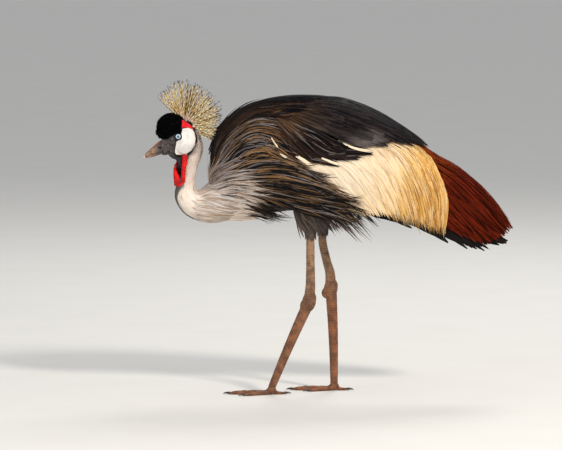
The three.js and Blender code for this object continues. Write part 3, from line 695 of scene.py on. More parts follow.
def dress(material, colour, rough=None, height=None, strength=0.4, depth=0.0003):
    """The material with its colour, roughness and relief linked to its shader."""
    tree = material.node_tree
    links = {"Base Color": colour, "Roughness": rough}
    if height:
        links["Normal"] = put(tree, "ShaderNodeBump", {"Height": height, "Strength": strength, "Distance": depth})
    for key, signal in links.items():
        if signal:
            tree.links.new(signal.socket, tree.nodes["Principled BSDF"].inputs[key])
    return material


def colour_layer(tree, name):
    return put(tree, "ShaderNodeAttribute", out="Color", attribute_name=name, attribute_type="GEOMETRY")


def plumage(name, edge, shaft, contrast, rough, gloss=0.35, fineness=14.0):
    """Feathers: the ground colour with darker and lighter barbs, edges in the trim colour and a fine shaft."""
    material, tree = new_material(name, rough, Specular_IOR_Level=gloss)
    marks = marks_of(tree, FEATHER_MARKS, {"Barb Fineness": fineness})
    ground, trim = colour_layer(tree, "ground"), colour_layer(tree, "trim")
    shaded = ground.scaled(marks["Barbs"].ramp(0.0, 1.0, 1 - contrast, 1 + contrast * 0.6))
    colour = (marks["Shaft"] * shaft).over((marks["Edge"] * edge).over(shaded, trim), trim)
    worn = marks["Barbs"].ramp(0.0, 1.0, rough + 0.1, rough - 0.08)
    return dress(material, colour, worn, marks["Height"], 0.5, 0.0004)


def skin_material(name, gloss, fineness, blotch, pores, rough, strength, depth):
    """Bare skin in its own colour, with blotches, pores and wrinkles."""
    material, tree = new_material(name, 0.55, Specular_IOR_Level=gloss)
    marks = marks_of(tree, SKIN_MARKS, fineness)
    shade = marks["Blotch"].ramp(0, 1, *blotch) + marks["Pores"].ramp(0, 1, *pores)
    return dress(material, colour_layer(tree, "ground").scaled(shade), marks["Wrinkles"].ramp(0.2, 0.8, *rough),
                 marks["Height"], strength, depth)


# The skin: trunk, neck and thighs

NECK = [
    [-270, 0, 519, 14, 12.5], [-263.5, 0, 495, 16, 15], [-267, 0, 475, 15.5, 15], [-273, 0, 455, 15, 14.5],
    [-278.5, 0, 435, 16.5, 15], [-283.5, 0, 415, 20.5, 17], [-280.5, 0, 395, 26.5, 24], [-263, 0, 379, 31, 31],
    [-243, 0, 377.5, 33.5, 35], [-218, 0, 387, 38, 40], [-190, 0, 398, 44, 48], [-168, 0, 404, 44, 50],
]
LEGS = (
    Named(side=-1, name="left", x=-38, y=-39, z=186, foot=-112, thigh=-33),
    Named(side=1, name="right", x=6, y=39, z=204, foot=14, thigh=-8),
)
STANCE = 37
ANKLE = 13
COAT_DEPTH = 2.6


def thigh_stops(leg):
    x, side = leg.thigh, leg.side
    return [
        [x + 22, side * 30, 420, 34, 24], [x + 12, side * 40, 388, 33, 23], [x + 3, side * 41, 358, 20, 16],
        [x - 1, side * 41, 334, 12.5, 12], [x - 1, side * 41, 316, 9.6, 9.4],
    ]


def trunk_skin():
    x = np.concatenate([[-232], np.linspace(-226, 160, 40), [164]])
    shapes = [skin_rings(torso_point(x[:, None], circle(32)[None], 1, -4.5)), tube(NECK, 32, 40, COAT_DEPTH)]
    shapes += [tube(thigh_stops(leg), 24, 20, COAT_DEPTH) for leg in LEGS]
    return fused("trunk_skin", shapes, 3.0, 4)


# The head: skull, face, chin, cap mound, cheeks and lids

EYE = Named(x=-298, y=13.6, z=515.4, radius=6.5)
LID_RIM = (10.4, 9.2)  # distances from the eye's middle between which the black of the lids sets in
LID_RIM_INNER = (8.3, 7.5)
BILL_BASE = -330
VELVET_EDGE = 0.5  # share of velvet at which its plush begins
HEAD = [
    [-322, 0, 498, 13, 10], [-308, 0, 505, 24, 16.5], [-290, 0, 509, 30.5, 18.5], [-274, 0, 507, 27, 17],
    [-263, 0, 502, 19, 12],
]
CHIN = [[-318, 0, 486, 6, 6], [-304, 0, 478, 9, 9], [-290, 0, 484, 12, 12]]
GULAR = [
    [-299, 0, 482, 13, 10], [-297, 0, 475, 10.5, 10], [-294.8, 0, 467, 6.8, 9.5], [-293.5, 0, 458, 4, 8],
    [-292, 0, 452, 1.2, 5],
]
GULAR_WALL = [[-296, 3, 468, 4, 5], [-298, 3, 455, 5.5, 4.5], [-298, 3, 440, 6.5, 4], [-295, 3, 424, 6, 4]]
# Painted shade: dark red painted low on the throat wall, deep between the wattle's lobes.
PAINTED_THROAT_SHADE = srgb(34, 8, 6)
BILL = [
    [-329, 508.4, 479.4, 9.6], [-336, 505.4, 477.7, 8.4], [-343, 499.8, 475.4, 6.9], [-350, 493, 473.3, 5.5],
    [-357, 487, 472.1, 4.2], [-363, 480.6, 471.5, 2.8], [-366.4, 475.6, 471.2, 1.5], [-367.6, 473.2, 471.4, 0.5],
]
FACE = [[-331, 508, 479, 9.4], [-320, 512, 479.2, 12.4], [-310, 515, 477.5, 14.8], [-300, 520, 478, 16]]
MOUTH = Named(x=-359, z=476.5, slope=0.275, corner=-309, tip=-363.8)
NOSTRIL = Named(x=-335, z=492.5, long=4.4, high=1.8, deep=2.4)
CAP = Named(x=-311, z=534.6, radii=(32, 16.5, 27.4), tilt=-0.2)
BROW = Named(x=-328.2, z=523, r=15)
CAP_HEM = [
    [-346, 508.5], [-337, 508.2], [-326, 507.4], [-319, 509], [-314, 512.4], [-308.5, 516], [-303, 518.4], [-298, 520],
]
SEEN_DROP = 0.078  # a little of each marking's height goes with its distance from the middle plane
CHEEK_OUTLINE = [
    (-290, 530), (-279, 531.5), (-270, 529), (-265.5, 521), (-263.5, 510), (-265, 497), (-272, 486), (-281, 480),
    (-291, 477.5), (-302, 478), (-305, 482), (-304.5, 489), (-303, 497), (-301.5, 504), (-294, 508), (-291.5, 514),
    (-292, 522),
]
PATCH_OUTLINE = [(-292.5, 531.5), (-290.5, 549), (-280, 542.5), (-270, 533), (-267.5, 529), (-279, 532)]


def mouth_level(x):
    return MOUTH.z + (x - MOUTH.x) * MOUTH.slope


def snout_rings(rows, count, sides):
    """Rings at constant X, widest just above the line of the mouth."""
    x = np.linspace(rows[-1][0], rows[0][0], count)[:, None]
    ridge, low, half = np.moveaxis(smooth_table(rows[::-1])(x), -1, 0)
    widest = mix(mouth_level(x), ridge, 0.1)
    a = circle(sides)[None]
    rise = np.where(np.cos(a) > 0, ridge - widest, widest - low)
    return stacked(x, half * np.sin(a), widest + rise * np.cos(a))


def outline_distance(x, z, outline):
    """Distance inside (positive) or outside (negative) an outline in the plane of the profile."""
    p = np.stack([x, z], -1)[:, None]
    a = np.array(outline, float)[None]
    b = np.roll(a, -1, axis=1)
    edge = b - a
    t = np.clip(((p - a) * edge).sum(-1) / (edge ** 2).sum(-1), 0, 1)
    gap = np.linalg.norm(p - a - edge * t[..., None], axis=-1).min(1)
    between = (a[..., 1] > p[..., 1]) != (b[..., 1] > p[..., 1])
    run = edge[..., 0] * (p[..., 1] - a[..., 1]) / np.where(edge[..., 1] == 0, 1e-9, edge[..., 1]) + a[..., 0]
    return np.where((between & (p[..., 0] < run)).sum(1) % 2 == 1, gap, -gap)


def lid_shape(side):
    """A ring of skin round the eye, a little pointed in front and behind."""
    a, b = circle(40)[:, None], circle(10)[None]
    reach = EYE.radius + 0.7 + 0.9 * np.cos(a) ** 8 - 0.5 * np.sin(a) ** 2
    girth = 1.5 + 0.35 * np.abs(np.sin(a))
    x = (reach + girth * np.cos(b)) * np.cos(a)
    z = (reach + girth * np.cos(b)) * np.sin(a)
    y = side * (EYE.y + 3.1 + 0.1 * x + girth * np.sin(b))
    points = stacked(EYE.x + x, y, EYE.z + z).reshape(-1, 3)
    i = np.arange(40)[:, None] * 10
    k = np.arange(10)[None]
    j, n = (i + 10) % 400, (k + 1) % 10
    return points, outward(points, [np.stack([i + k, i + n, j + n, j + k], -1).reshape(-1, 4)])


def head_skin():
    shapes = [tube(HEAD, 40, 30), skin_rings(snout_rings(FACE, 14, 32)), tube(CHIN, 24, 10), tube(GULAR, 24, 14),
              tube(GULAR_WALL, 20, 12), ellipsoid((CAP.x, 0, CAP.z), tuple(r - 3.2 for r in CAP.radii), CAP.tilt),
              ellipsoid((BROW.x, 0, BROW.z), (BROW.r - 3, 10, BROW.r - 3)), lid_shape(-1), lid_shape(1),
              ellipsoid((-280, 0, 536), (12, 9.5, 8), -0.55)]
    shapes += [ellipsoid((-283, side * 13, 504), (17, 6.2, 24), 0.2) for side, _ in SIDES]
    head = fused("head_skin", shapes, 0.75, 5)
    p, n = get_points(head), get_normals(head)
    x, y, z = p.T
    cheek = ease(-0.3, 0.9, outline_distance(x, z, CHEEK_OUTLINE)) * (np.abs(y) > 6)
    patch = ease(-0.3, 0.7, outline_distance(x, z, PATCH_OUTLINE)) * (np.abs(y) > 3)
    gape = np.abs(z - mouth_level(x) + 0.6 * np.sin((x + 329) * 0.2))
    groove = ease(0.9, 0.1, gape) * ease(MOUTH.corner + 1, MOUTH.corner - 3, x)
    set_points(head, p + n * (0.9 * cheek + 0.5 * patch - 0.9 * groove)[:, None])
    return head


def limb_stops(leg):
    side, x = leg.side, leg.thigh
    return [
        [x - 1, side * 41, 335, 7.6, 7.0], [x - 1.5, side * 41, 300, 8.4, 7.4],
        [mix(x, leg.x, 0.45) + 1.0, side * 40.5, 260, 8.7, 7.4],
        [mix(x, leg.x, 0.8) + 2.6, side * 40, leg.z + 32, 9.8, 7.8], [leg.x + 1, leg.y, leg.z, 11.5, 9],
    ]


TOES = (
    Named(name="middle", turn=0.0, girth=6.0, length=84), Named(name="inner", turn=0.48, girth=5.4, length=58),
    Named(name="outer", turn=-0.5, girth=5.4, length=62), Named(name="hind", turn=3.02, girth=4.4, length=27),
)
TOE_DEPTH = 0.85
CLAW_LENGTH = 13
CLAW_HEIGHT = 3


def toe_point(leg, toe, reach, z):
    turn = PI + toe.turn * leg.side
    return [leg.foot + math.cos(turn) * reach, leg.side * STANCE + math.sin(turn) * reach, z]


def toe_stops(leg, toe):
    """Pads along a toe as stops of place, half depth and half width."""
    length, girth = toe.length, toe.girth
    stops = [(2, 7, girth + 1.2)]
    pads = 3 if length > 40 else 2
    for i in range(pads):
        reach = mix(12, length - 9, i / (pads - 0.6))
        pad = girth - i * 0.35
        stops.append((reach, pad * TOE_DEPTH - 0.8, pad))
        stops.append((reach + length * 0.1, pad * TOE_DEPTH - 0.9, pad - 0.7))
    stops += [(length - 3, CLAW_HEIGHT, 3.0), (length, CLAW_HEIGHT, 2.7)]
    return [[*toe_point(leg, toe, reach, z), r * TOE_DEPTH, r] for reach, z, r in stops]


def tarsus_ends(leg):
    return (np.array([leg.x + 2 * leg.side, leg.y, leg.z - 6.0]),
            np.array([leg.foot, leg.side * STANCE, ANKLE], float))


def tarsus_stops(leg):
    top, foot = tarsus_ends(leg)
    return [[*(mix(top, foot, t) + [1.4 * leg.side * math.sin(t * PI), 0, 0]), mix(11.4, 7.5, t), mix(8.2, 6.3, t)]
            for t in np.linspace(0, 1, 7)]


TOE_PLATE = 3.1  # length of the plates over the toes and down the leg
LEG_PLATE = 5.2


def leg_skin(leg):
    """Shank, hock, tarsus and toes, with plates down the front and over the toes."""
    shapes = [tube(limb_stops(leg), 28, 60), tube(tarsus_stops(leg), 28, 70)]
    for ahead, up, radii, tilt in ((1, 1, (14, 10.2, 21), 0.15), (-7.5, -6, (9.5, 8.8, 12), 0.3),
                                   (5, 6, (10.5, 9, 14), 0.2)):
        shapes.append(ellipsoid((leg.x + ahead, leg.y, leg.z + up), radii, tilt))
    shapes.append(ellipsoid((leg.foot, leg.side * STANCE, 8.3), (10, 9, 8.2)))
    shapes += [tube(toe_stops(leg, toe), 18, 40) for toe in TOES]
    skin = fused(f"leg_skin_{leg.name}", shapes, 0.95, 3)
    p, n = get_points(skin), get_normals(skin)
    along, around, on_toe = leg_place(leg, p)
    saw = (along / np.where(on_toe, TOE_PLATE, LEG_PLATE)) % 1
    front = np.where(on_toe, ease(0.2, 0.6, n[:, 2]), ease(1.5, 0.9, np.abs(around)))
    hock = ease(24, 12, np.linalg.norm(p - np.array([leg.x, leg.y, leg.z]), axis=1))
    step = (0.5 - saw) * 0.55 - ease(0.86, 1.0, saw) * 0.35
    step = step * front * (1 - hock) + hock * 0.35 * np.sin(p[:, 2] * 2.1 + 2 * np.sin(p[:, 0] * 0.4))
    p = p + n * step[:, None]
    p[:, 2] = np.maximum(p[:, 2], 0.05)
    set_points(skin, p)
    return skin


def leg_place(leg, p):
    """Distance down the leg or out along a toe, angle from the front of the leg, and whether a toe is nearer."""
    top, foot = tarsus_ends(leg)
    axis = unit(foot - top)
    down = (p - top) @ axis
    off = p - top - down[:, None] * axis
    around = np.arctan2(off[:, 1], -off[:, 0])
    flat = p[:, :2] - np.array([leg.foot, leg.side * STANCE])
    reach = np.linalg.norm(flat, axis=1)
    on_toe = (p[:, 2] < 15) & (reach > 9)
    down = np.where(p[:, 2] > leg.z, leg.z - p[:, 2], down)
    return np.where(on_toe, reach, down), around, on_toe


# Markings, the same on the skin and on the coat

def face_colours(p):
    """Colours of the head and the neck for points in millimetres."""
    x, y, z = p.T
    lids = np.hypot(x - EYE.x, z - EYE.z)
    z = z - SEEN_DROP * np.abs(y)
    mottle = np.sin(0.8 * (x + z) + 2 * np.sin(0.5 * z)) * np.sin(0.75 * (x - 0.6 * z) + 1.5 * np.sin(0.45 * x))
    mottle = ease(-298, -304, x) * np.where(mottle > 0, 1.5, 0.75) * mottle
    neck = ease(-284, -278, x + 0.3 * (z - 480)) * ease(532, 526, z)
    cheek, patch = outline_distance(x, z, CHEEK_OUTLINE), outline_distance(x, z, PATCH_OUTLINE)
    outer, high, by_eye = np.abs(y) > 6, np.abs(y) > 2.5, np.abs(y) > 8
    white = fade(CHEEK_WHITE, CHEEK_BUFF, 0.6 * ease(484, 478, z))
    return layers(
        FACE_SLATE * (1 + mottle)[:, None],
        (THROAT_SLATE, ease(482, 472, z)),
        (neck_colours(p), neck),
        # painted shade on the neck just under the rim of the raised cheek
        (DARK_NECK_GREY_AND_SHADE, 0.85 * ease(-15, -4, cheek) * neck),
        # painted shade deep in the throat between the wattle's lobes
        (PAINTED_THROAT_SHADE, ease(455, 450, z) * ease(-288, -291, x)),
        (RIM_BLACK, ease(*LID_RIM, lids) * by_eye),
        (RIM_BLACK, ease(-3.0, -2.0, cheek + 1.8 * ease(486, 480, z)) * outer * (z < 532)),
        (RIM_BLACK, ease(-2.4, -1.8, patch) * high),
        (white, ease(-0.35, 0.35, cheek) * outer),
        (RIM_BLACK, ease(*LID_RIM_INNER, lids) * by_eye),
        (PATCH_RED, ease(-0.35, 0.35, patch) * high),
        (VELVET, crown_share(p)),
    )


def crown_share(p):
    """How far a point is on the black velvet of the crown, from 0 to 1."""
    x, z = p[:, 0], p[:, 2] - SEEN_DROP * np.abs(p[:, 1])
    hem = smooth_table(CAP_HEM)(np.clip(x, -345, -298.5))[..., 0]
    brow = (np.hypot(x - BROW.x, z - BROW.z) < BROW.r) & (x < BROW.x + 4)
    cap = np.maximum(ease(-0.02, 0.02, ellipse_depth(p)), brow) * ease(-0.4, 0.4, z - hem)
    nape = ease(0.2, 0.9, z - 543.5 + 0.8 * (x + 281)) * (x > -300)
    bare = (outline_distance(x, z, PATCH_OUTLINE) > 0.2) & (np.abs(p[:, 1]) > 2.5)
    bare |= outline_distance(x, z, CHEEK_OUTLINE) > 0
    return np.where(bare, 0.0, np.maximum(cap, nape))


def ellipse_depth(p):
    """Positive inside the outline of the velvet cap."""
    x, z = p[:, 0] - CAP.x, p[:, 2] - CAP.z
    c, s = math.cos(-CAP.tilt), math.sin(-CAP.tilt)
    return 1 - np.sqrt(((x * c + z * s) / CAP.radii[0]) ** 2 + ((-x * s + z * c) / CAP.radii[2]) ** 2)


def neck_colours(p):
    x, y, z = p.T
    # A dark slate stripe down the front of the neck. Just under the chin it is the slate of the throat, and lower down
    # it is painted shade on the neck's front edge.
    outside = ease(40, 47, np.hypot(x + 245, z - 415)) * ease(-244, -262, x) * ease(445, 430, z)
    edge = np.abs(y) - 4 * ease(385, 415, z)
    slate_and_shade_stripe = ease(14, 10, edge) * np.maximum(outside, ease(-284, -288, x) * ease(470, 450, z))
    return layers(NECK_GREY, (BREAST_GREY, ease(430, 395, z)), (THROAT_SLATE, 0.9 * slate_and_shade_stripe))


def trunk_colours(p):
    x, z = p[:, 0], p[:, 2]
    pale = ease(-150, -200, x - 0.25 * (z - 400)) * ease(440, 415, z)
    return fade(SLATE_DARK, neck_colours(p), np.maximum(pale, ease(-228, -244, x - 0.25 * (z - 400))))


def leg_colours(leg, p):
    along, _, on_toe = leg_place(leg, p)
    warm = 0.75 if leg.side > 0 else 0.45
    base = layers(LEG_BROWN, (LEG_RED, warm * ease(leg.z + 10, leg.z - 40, p[:, 2]) + 0.1),
                  (LEG_TAN, 0.7 * ease(leg.z + 5, leg.z + 45, p[:, 2])))
    # Painted shade in the sunken creases between the plates of the legs and the toes.
    painted_crease_shade = ease(0.8, 0.98, (along / np.where(on_toe, TOE_PLATE, LEG_PLATE)) % 1)
    return base * (1 - 0.5 * painted_crease_shade)[:, None]


def whole_skin():
    """One skin over the head, neck, trunk and legs."""
    trunk, head = trunk_skin(), head_skin()
    legs = [leg_skin(leg) for leg in LEGS]
    bare = skin_material("bare_skin", 0.35, {}, (0.86, 1.1), (-0.16, 0.03), (0.68, 0.45), 0.55, 0.0005)
    coarse = {"Pore Fineness": 420.0, "Wrinkle Fineness": 90.0, "Blotch Size": 75.0}
    scaled = skin_material("scaled_leg_skin", 0.4, coarse, (0.62, 1.2), (-0.28, 0.06), (0.7, 0.42), 0.8, 0.0008)
    for obj, colours, material in (
            (trunk, trunk_colours, bare), (head, face_colours, bare),
            *((skin, lambda p, leg=leg: leg_colours(leg, p), scaled) for leg, skin in zip(LEGS, legs))):
        paint(obj, "ground", colours(get_points(obj)))
        obj.data.materials.append(material)
    scalp, chest = copy_tree(head), copy_tree(trunk)
    for other in (head, *legs):
        union = trunk.modifiers.new("join", "BOOLEAN")
        union.operation, union.object, union.solver = "UNION", other, "MANIFOLD"
        union.material_mode = "TRANSFER"
        apply_modifiers(trunk)
        bpy.data.objects.remove(other)
    trunk.name = trunk.data.name = "skin"
    shade_smooth(trunk.data)
    nodes = [f"{part}_{name}" for _, name in SIDES for part in ("cheek", "thigh", "shank", "tarsus", "foot")]
    finish_piece(trunk, "leg_scales", "head", "neck_upper", "neck_lower", "body", *nodes)
    return scalp, chest


def copy_tree(obj):
    """The surface of an object for finding places on it, with its triangles, in millimetres."""
    obj.data.calc_loop_triangles()
    tri = read(obj.data.loop_triangles, "vertices", 3, np.int32)
    points = get_points(obj)
    tree = BVHTree.FromPolygons(points.tolist(), tri.tolist())
    return Named(tree=tree, points=points, tri=tri, normals=get_normals(obj))


def scatter(surface, count, seed, keep):
    """Evenly random places on a surface where keep(points) is true, with the way the surface faces there."""
    rng = np.random.default_rng(seed)
    p, n, tri = surface.points, surface.normals, surface.tri
    tri = tri[keep(p[tri].mean(1))]
    facing = unit(n[tri].mean(1))
    area = np.linalg.norm(np.cross(p[tri[:, 1]] - p[tri[:, 0]], p[tri[:, 2]] - p[tri[:, 0]]), axis=1)
    pick = rng.choice(len(tri), count, p=area / area.sum())
    a, b = rng.uniform(0, 1, (2, count, 1))
    flip = (a + b) > 1
    a, b = np.where(flip, 1 - a, a), np.where(flip, 1 - b, b)
    corner = p[tri[pick]]
    return corner[:, 0] * (1 - a - b) + corner[:, 1] * a + corner[:, 2] * b, facing[pick], rng


def tufts(roots, normals, flow, length, width, sink, stand):
    """Small tufts that leave the skin along its lie. flow is a direction for each root, and stand how far the tip
    rises, as a share of the length."""
    flow = unit(flow - normals * (flow * normals).sum(-1, keepdims=True))
    t = np.linspace(0, 1, 4)[None, :, None]
    rise = -sink + length[:, None, None] * stand * np.sin(t * PI / 2 * 1.1)
    centres = roots[:, None] + flow[:, None] * (length[:, None, None] * t) + normals[:, None] * rise
    halves = width[:, None] / 2 * feather_shape(t[..., 0], 0.7, 0.1)
    return blades(centres, normals[:, None], halves, 0.4, 0.3)


def comb(surface, roots, flow, length, stations):
    """Routes over a surface that start at roots and follow the direction flow(points) gives."""
    p = roots
    centres, normals = np.empty((2, len(roots), stations, 3))
    for k in range(stations):
        found = [surface.tree.find_nearest(tuple(q))[:2] for q in p]
        centres[:, k], normals[:, k] = [hit[0] for hit in found], [hit[1] for hit in found]
        way = flow(centres[:, k])
        way = unit(way - normals[:, k] * (way * normals[:, k]).sum(-1, keepdims=True))
        p = centres[:, k] + way * (length / (stations - 1))[:, None]
    soft = normals.copy()
    soft[:, 1:-1] += normals[:, :-2] + normals[:, 2:]
    return centres, unit(soft)


# Lie of the feathers over the cloak, from the top of each tract to its bottom

CAPE_KEYS = [
    [-238, 440, -227, 495, -201, 540, -160, 568, -108, 0.1],
    [-234, 434, -215, 488, -186, 525, -145, 550, -95, 550],
    [-230, 430, -203, 470, -172, 506, -135, 520, -88, 506],
    [-226, 427, -190, 456, -152, 482, -105, 488, -48, 464],
    [-222, 424, -178, 442, -126, 463, -75, 460, -4, 434],
    [-218, 420, -162, 431, -105, 437, -45, 427, 30, 404],
    [-216, 416, -152, 420, -90, 416, -30, 401, 42, 386],
    [-213, 413, -150, 412, -100, 402, -42, 387, 32, 371],
    [-210, 410, -150, 405, -105, 392, -58, 375, 4, 357],
]
MANTLE_KEYS = [
    [-240, 0.0, -190, 0.02, -120, 0.02, -40, 0.02, 40, 0.03],
    [-236, 0.15, -190, 0.11, -120, 0.10, -40, 0.10, 45, 0.11],
    [-231, 0.27, -190, 0.21, -120, 0.18, -45, 0.18, 45, 0.19],
    [-226, 0.37, -188, 0.30, -125, 0.26, -55, 0.26, 30, 0.28],
]
RIDGE_KEYS = [
    [-238, -0.03, -190, -0.025, -120, -0.022, -40, -0.02, 60, -0.02],
    [-238, 0.04, -190, 0.035, -120, 0.03, -40, 0.028, 60, 0.028],
]
SCAPULAR_KEYS = [
    [-30, 0.02, 40, 0.03, 110, 0.04, 197, 0.04],
    [-45, 0.09, 30, 0.10, 105, 0.12, 191, 0.16],
    [-68, 0.17, 0, 0.20, 78, 0.24, 162, 495],
    [-90, 0.24, -30, 536, 38, 508, 104, 496],
]
FRINGE_KEYS = [
    [-236, 424, -216, 458, -190, 490, -158, 510],
    [-236, 422, -212, 447, -178, 468, -134, 478],
    [-235, 420, -203, 434, -163, 444, -116, 446],
    [-233, 416, -192, 422, -150, 424, -102, 420],
    [-230, 412, -185, 411, -145, 406, -100, 396],
    [-228, 408, -185, 403, -148, 394, -108, 380],
]
LOBES = (
    [
        [-92, 0.25, -36, 532, 30, 502, 90, 487], [-105, 0.32, -50, 520, 8, 488, 86, 484],
        [-112, 560, -62, 524, -12, 488, 46, 470],
    ],
    [
        [-112, 560, -68, 523, -22, 486, 22, 465], [-120, 556, -82, 514, -42, 478, 24, 462],
        [-124, 553, -88, 510, -60, 489, -14, 469],
    ],
    [
        [-126, 552, -92, 512, -68, 490, -46, 479], [-136, 548, -110, 515, -90, 494, -58, 474],
        [-142, 545, -118, 517, -98, 496, -80, 483],
    ],
)
SLIPS = (
    ([[-114, 522, -107, 511, -93, 494], [-115, 521, -108, 509, -94, 492]], 2, 1.8),
    ([[-100, 489, -90, 485, -76, 480], [-100, 486, -90, 482, -78, 477]], 2, 1.8),
    ([[-66, 490, -48, 477, -24, 462], [-69, 487, -50, 472, -28, 458]], 4, 2.4),
    ([[-22, 486, 4, 473, 32, 465], [-23, 484, 2, 470, 28, 461]], 4, 2.2),
    ([[28, 507, 52, 497, 94, 489], [28, 504, 52, 493, 90, 486]], 4, 2.0),
)
COVERT_KEYS = [
    [-112, 524, -78, 488, -38, 452, 8, 410, 52, 366],
    [-60, 520, -22, 486, 18, 448, 56, 405, 90, 363],
    [10, 512, 46, 484, 80, 446, 104, 404, 124, 362],
    [60, 510, 98, 480, 124, 442, 143, 400, 156, 356],
    [105, 509, 142, 480, 166, 440, 184, 395, 196, 343],
    [130, 510, 170, 484, 198, 444, 215, 399, 218, 337],
    [148, 508, 185, 489, 215, 446, 233, 401, 234, 335],
]
SECONDARY_KEYS = [
    [90, 0.03, 170, 0.04, 238, 0.05, 316, 0.07, 369, 0.15],
    [90, 530, 175, 494, 241, 450, 309, 394, 365, 329],
    [90, 508, 165, 478, 232, 430, 294, 372, 352, 316],
    [90, 485, 150, 462, 214, 420, 268, 362, 324, 305],
    [90, 455, 140, 440, 196, 405, 244, 358, 294, 309],
    [80, 435, 130, 420, 180, 390, 224, 354, 266, 323],
    [80, 425, 125, 410, 170, 384, 208, 360, 240, 340],
]
PRIMARY_KEYS = [
    [90, 475, 180, 432, 280, 374, 367, 308],
    [90, 468, 170, 422, 262, 360, 354, 298],
    [90, 460, 165, 415, 245, 350, 322, 290],
    [90, 445, 152, 402, 215, 350, 290, 291],
    [90, 425, 140, 390, 188, 346, 240, 309],
    [60, 400, 98, 378, 138, 360, 186, 333],
    [40, 385, 66, 372, 98, 363, 142, 349],
]

def neck_share(x, z):
    """Near the root of the neck, where the hackles are pale grey."""
    return ease(54, 20, np.hypot((x + 250) / 1.9, (z - 404) * 1.35))


# Each colour function below takes x, z, the shares along the feather and across the tract, and a random tone, and
# gives the ground and the trim colour.

def cape_colour(x, z, t, s, tone):
    """Brown-black over the shoulder, and pale grey at the root of the neck."""
    near = neck_share(x, z) * (0.5 + 0.5 * (tone > 0.4))
    low = ease(0.5, 0.8, s) * ease(-170, -80, x)
    ground = layers(SLATE_DARK, (MANTLE_BROWN, 0.4 * tone * (1 - 0.7 * low)), (HACKLE_GREY, near))
    gold = ease(-0.2, 0.5, np.sin(tone * 40)) * ease(0.12, 0.35, s) * (1 - 0.6 * low)
    return speckle(ground, tone, 0.3), layers(SLATE_DARK, (HACKLE_GOLD * 0.6, 0.7 * gold), (NECK_GREY, 0.6 * near))


def line_tone(s, tone, count, share):
    """A random number that most strands of one line down the cape have in common."""
    shared = (np.sin(np.floor(s * count) * 12.9898) * 4375.85) % 1
    return np.where((tone * 17) % 1 < share, shared, tone)


def strand_colour(x, z, t, s, tone):
    """Single gold-brown, silver and black strands that lie over the cape."""
    near = neck_share(x, z)
    silver = ease(46, 18, np.hypot(x + 132, (z - 502) * 1.4))
    pick = line_tone(s, tone, 90, 0.6)
    vary = (pick * 57 + 0.3 * tone) % 1
    gold = fade(MANTLE_BROWN, HACKLE_GOLD, ease(0.08, 0.3, s) * (0.25 + 0.75 * vary))
    ground = fade(SLATE_DARK, gold, pick < mix(0.4, 0.25, ease(0.4, 0.8, s)))
    ground = ground * mix(1.0, 0.5, ease(0.45, 0.75, s) * ease(-170, -80, x))[..., None]
    pale = (pick + 0.35 * silver > 0.88) * (0.3 + 0.5 * vary) * ease(0.0, 0.15, s)
    ground = layers(ground, (HACKLE_GREY, pale), (HACKLE_GREY, near * (pick > 0.3)))
    return ground, fade(ground * 0.55, SHAFT_GREY, 0.4 * near)


def fringe_colour(x, z, t, s, tone):
    """Pale and grey strands that spread from the root of the neck over the cape."""
    ground = layers(HACKLE_GREY, (NECK_GREY, ease(0.35, 0.8, s + 0.3 * tone)),
                    (SLATE_DARK, 0.85 * ((tone * 13) % 1 < 0.35)), (HACKLE_GOLD, 0.7 * ((tone * 29) % 1 < 0.25)),
                    (SLATE, 0.5 * ease(0.5, 1.0, t)))
    return ground, ground * 0.7


def rusty_share(x, z):
    """The brown patch where the lobes come out from under the mantle."""
    return ease(58, 22, np.hypot(x + 94, (z - 541) * 1.7))


def lobe_colour(x, z, t, s, tone):
    """Thin pale and dark lines over the black lobes."""
    line = np.where((tone < 0.3)[..., None], MANTLE_BROWN, MANTLE_BLACK)
    line = fade(line, HACKLE_GOLD * 0.4, rusty_share(x, z) * (tone > 0.4))
    line = np.where((tone > 0.82)[..., None], HACKLE_GREY * 0.55, line)
    return line, line * 0.8


def slip_colour(x, z, t, s, tone):
    return COVERT_WHITE, COVERT_CREAM


def mantle_colour(x, z, t, s, tone):
    brown = ease(0.3, 0.75, s) * ease(-200, -130, x) * ease(50, -60, x)
    ground = layers(MANTLE_BLACK, (MANTLE_BROWN, brown * (0.05 + 0.5 * tone)),
                    (MANTLE_BROWN * 1.3, rusty_share(x, z) * (0.3 + 0.7 * tone)),
                    (HACKLE_GOLD * 0.25, brown * (tone > 0.72) * ease(0.55, 0.9, t)))
    return speckle(ground, tone, 0.3), fade(SLATE * 0.5, HACKLE_GOLD * 0.45, brown * tone)


def ridge_colour(x, z, t, s, tone):
    return mantle_colour(x, z, t, 0.5 * s, 0.6 * tone)


def mantle_line(x, z, t, s, tone):
    """Fine brown and violet-black lines over the mantle."""
    brown = ease(0.3, 0.75, s) * ease(-200, -130, x) * ease(60, -20, x)
    ground = layers(MANTLE_BLACK, (HACKLE_GOLD * 0.3, brown * (tone < 0.24)), (SHEEN_VIOLET, 0.5 * (tone > 0.86)))
    return ground, ground * 0.7


def scapular_colour(x, z, t, s, tone):
    brown = ease(20, -80, x) * ease(0.1, 0.5, s)
    # Painted highlight: a soft grey pool of light at one place on the black scapulars.
    painted_highlight_patch = ease(52, 8, np.hypot(x - 78, (z - 513) * 2.2))
    ground = layers(MANTLE_BLACK, (MANTLE_BROWN, brown * (0.1 + 0.45 * tone)),
                    # slate on random lower feathers: partly their own slate, partly painted gloss
                    (SLATE, 0.45 * ease(0.5, 0.95, tone) * ease(0.3, 0.8, s)),
                    (MANTLE_BROWN * 1.3, rusty_share(x, z) * (0.3 + 0.7 * tone)),
                    (HACKLE_GREY * 0.5, 0.8 * painted_highlight_patch * (0.35 + 0.65 * tone)))
    return speckle(ground, tone, 0.3), fade(SLATE, HACKLE_GOLD * 0.5, brown)


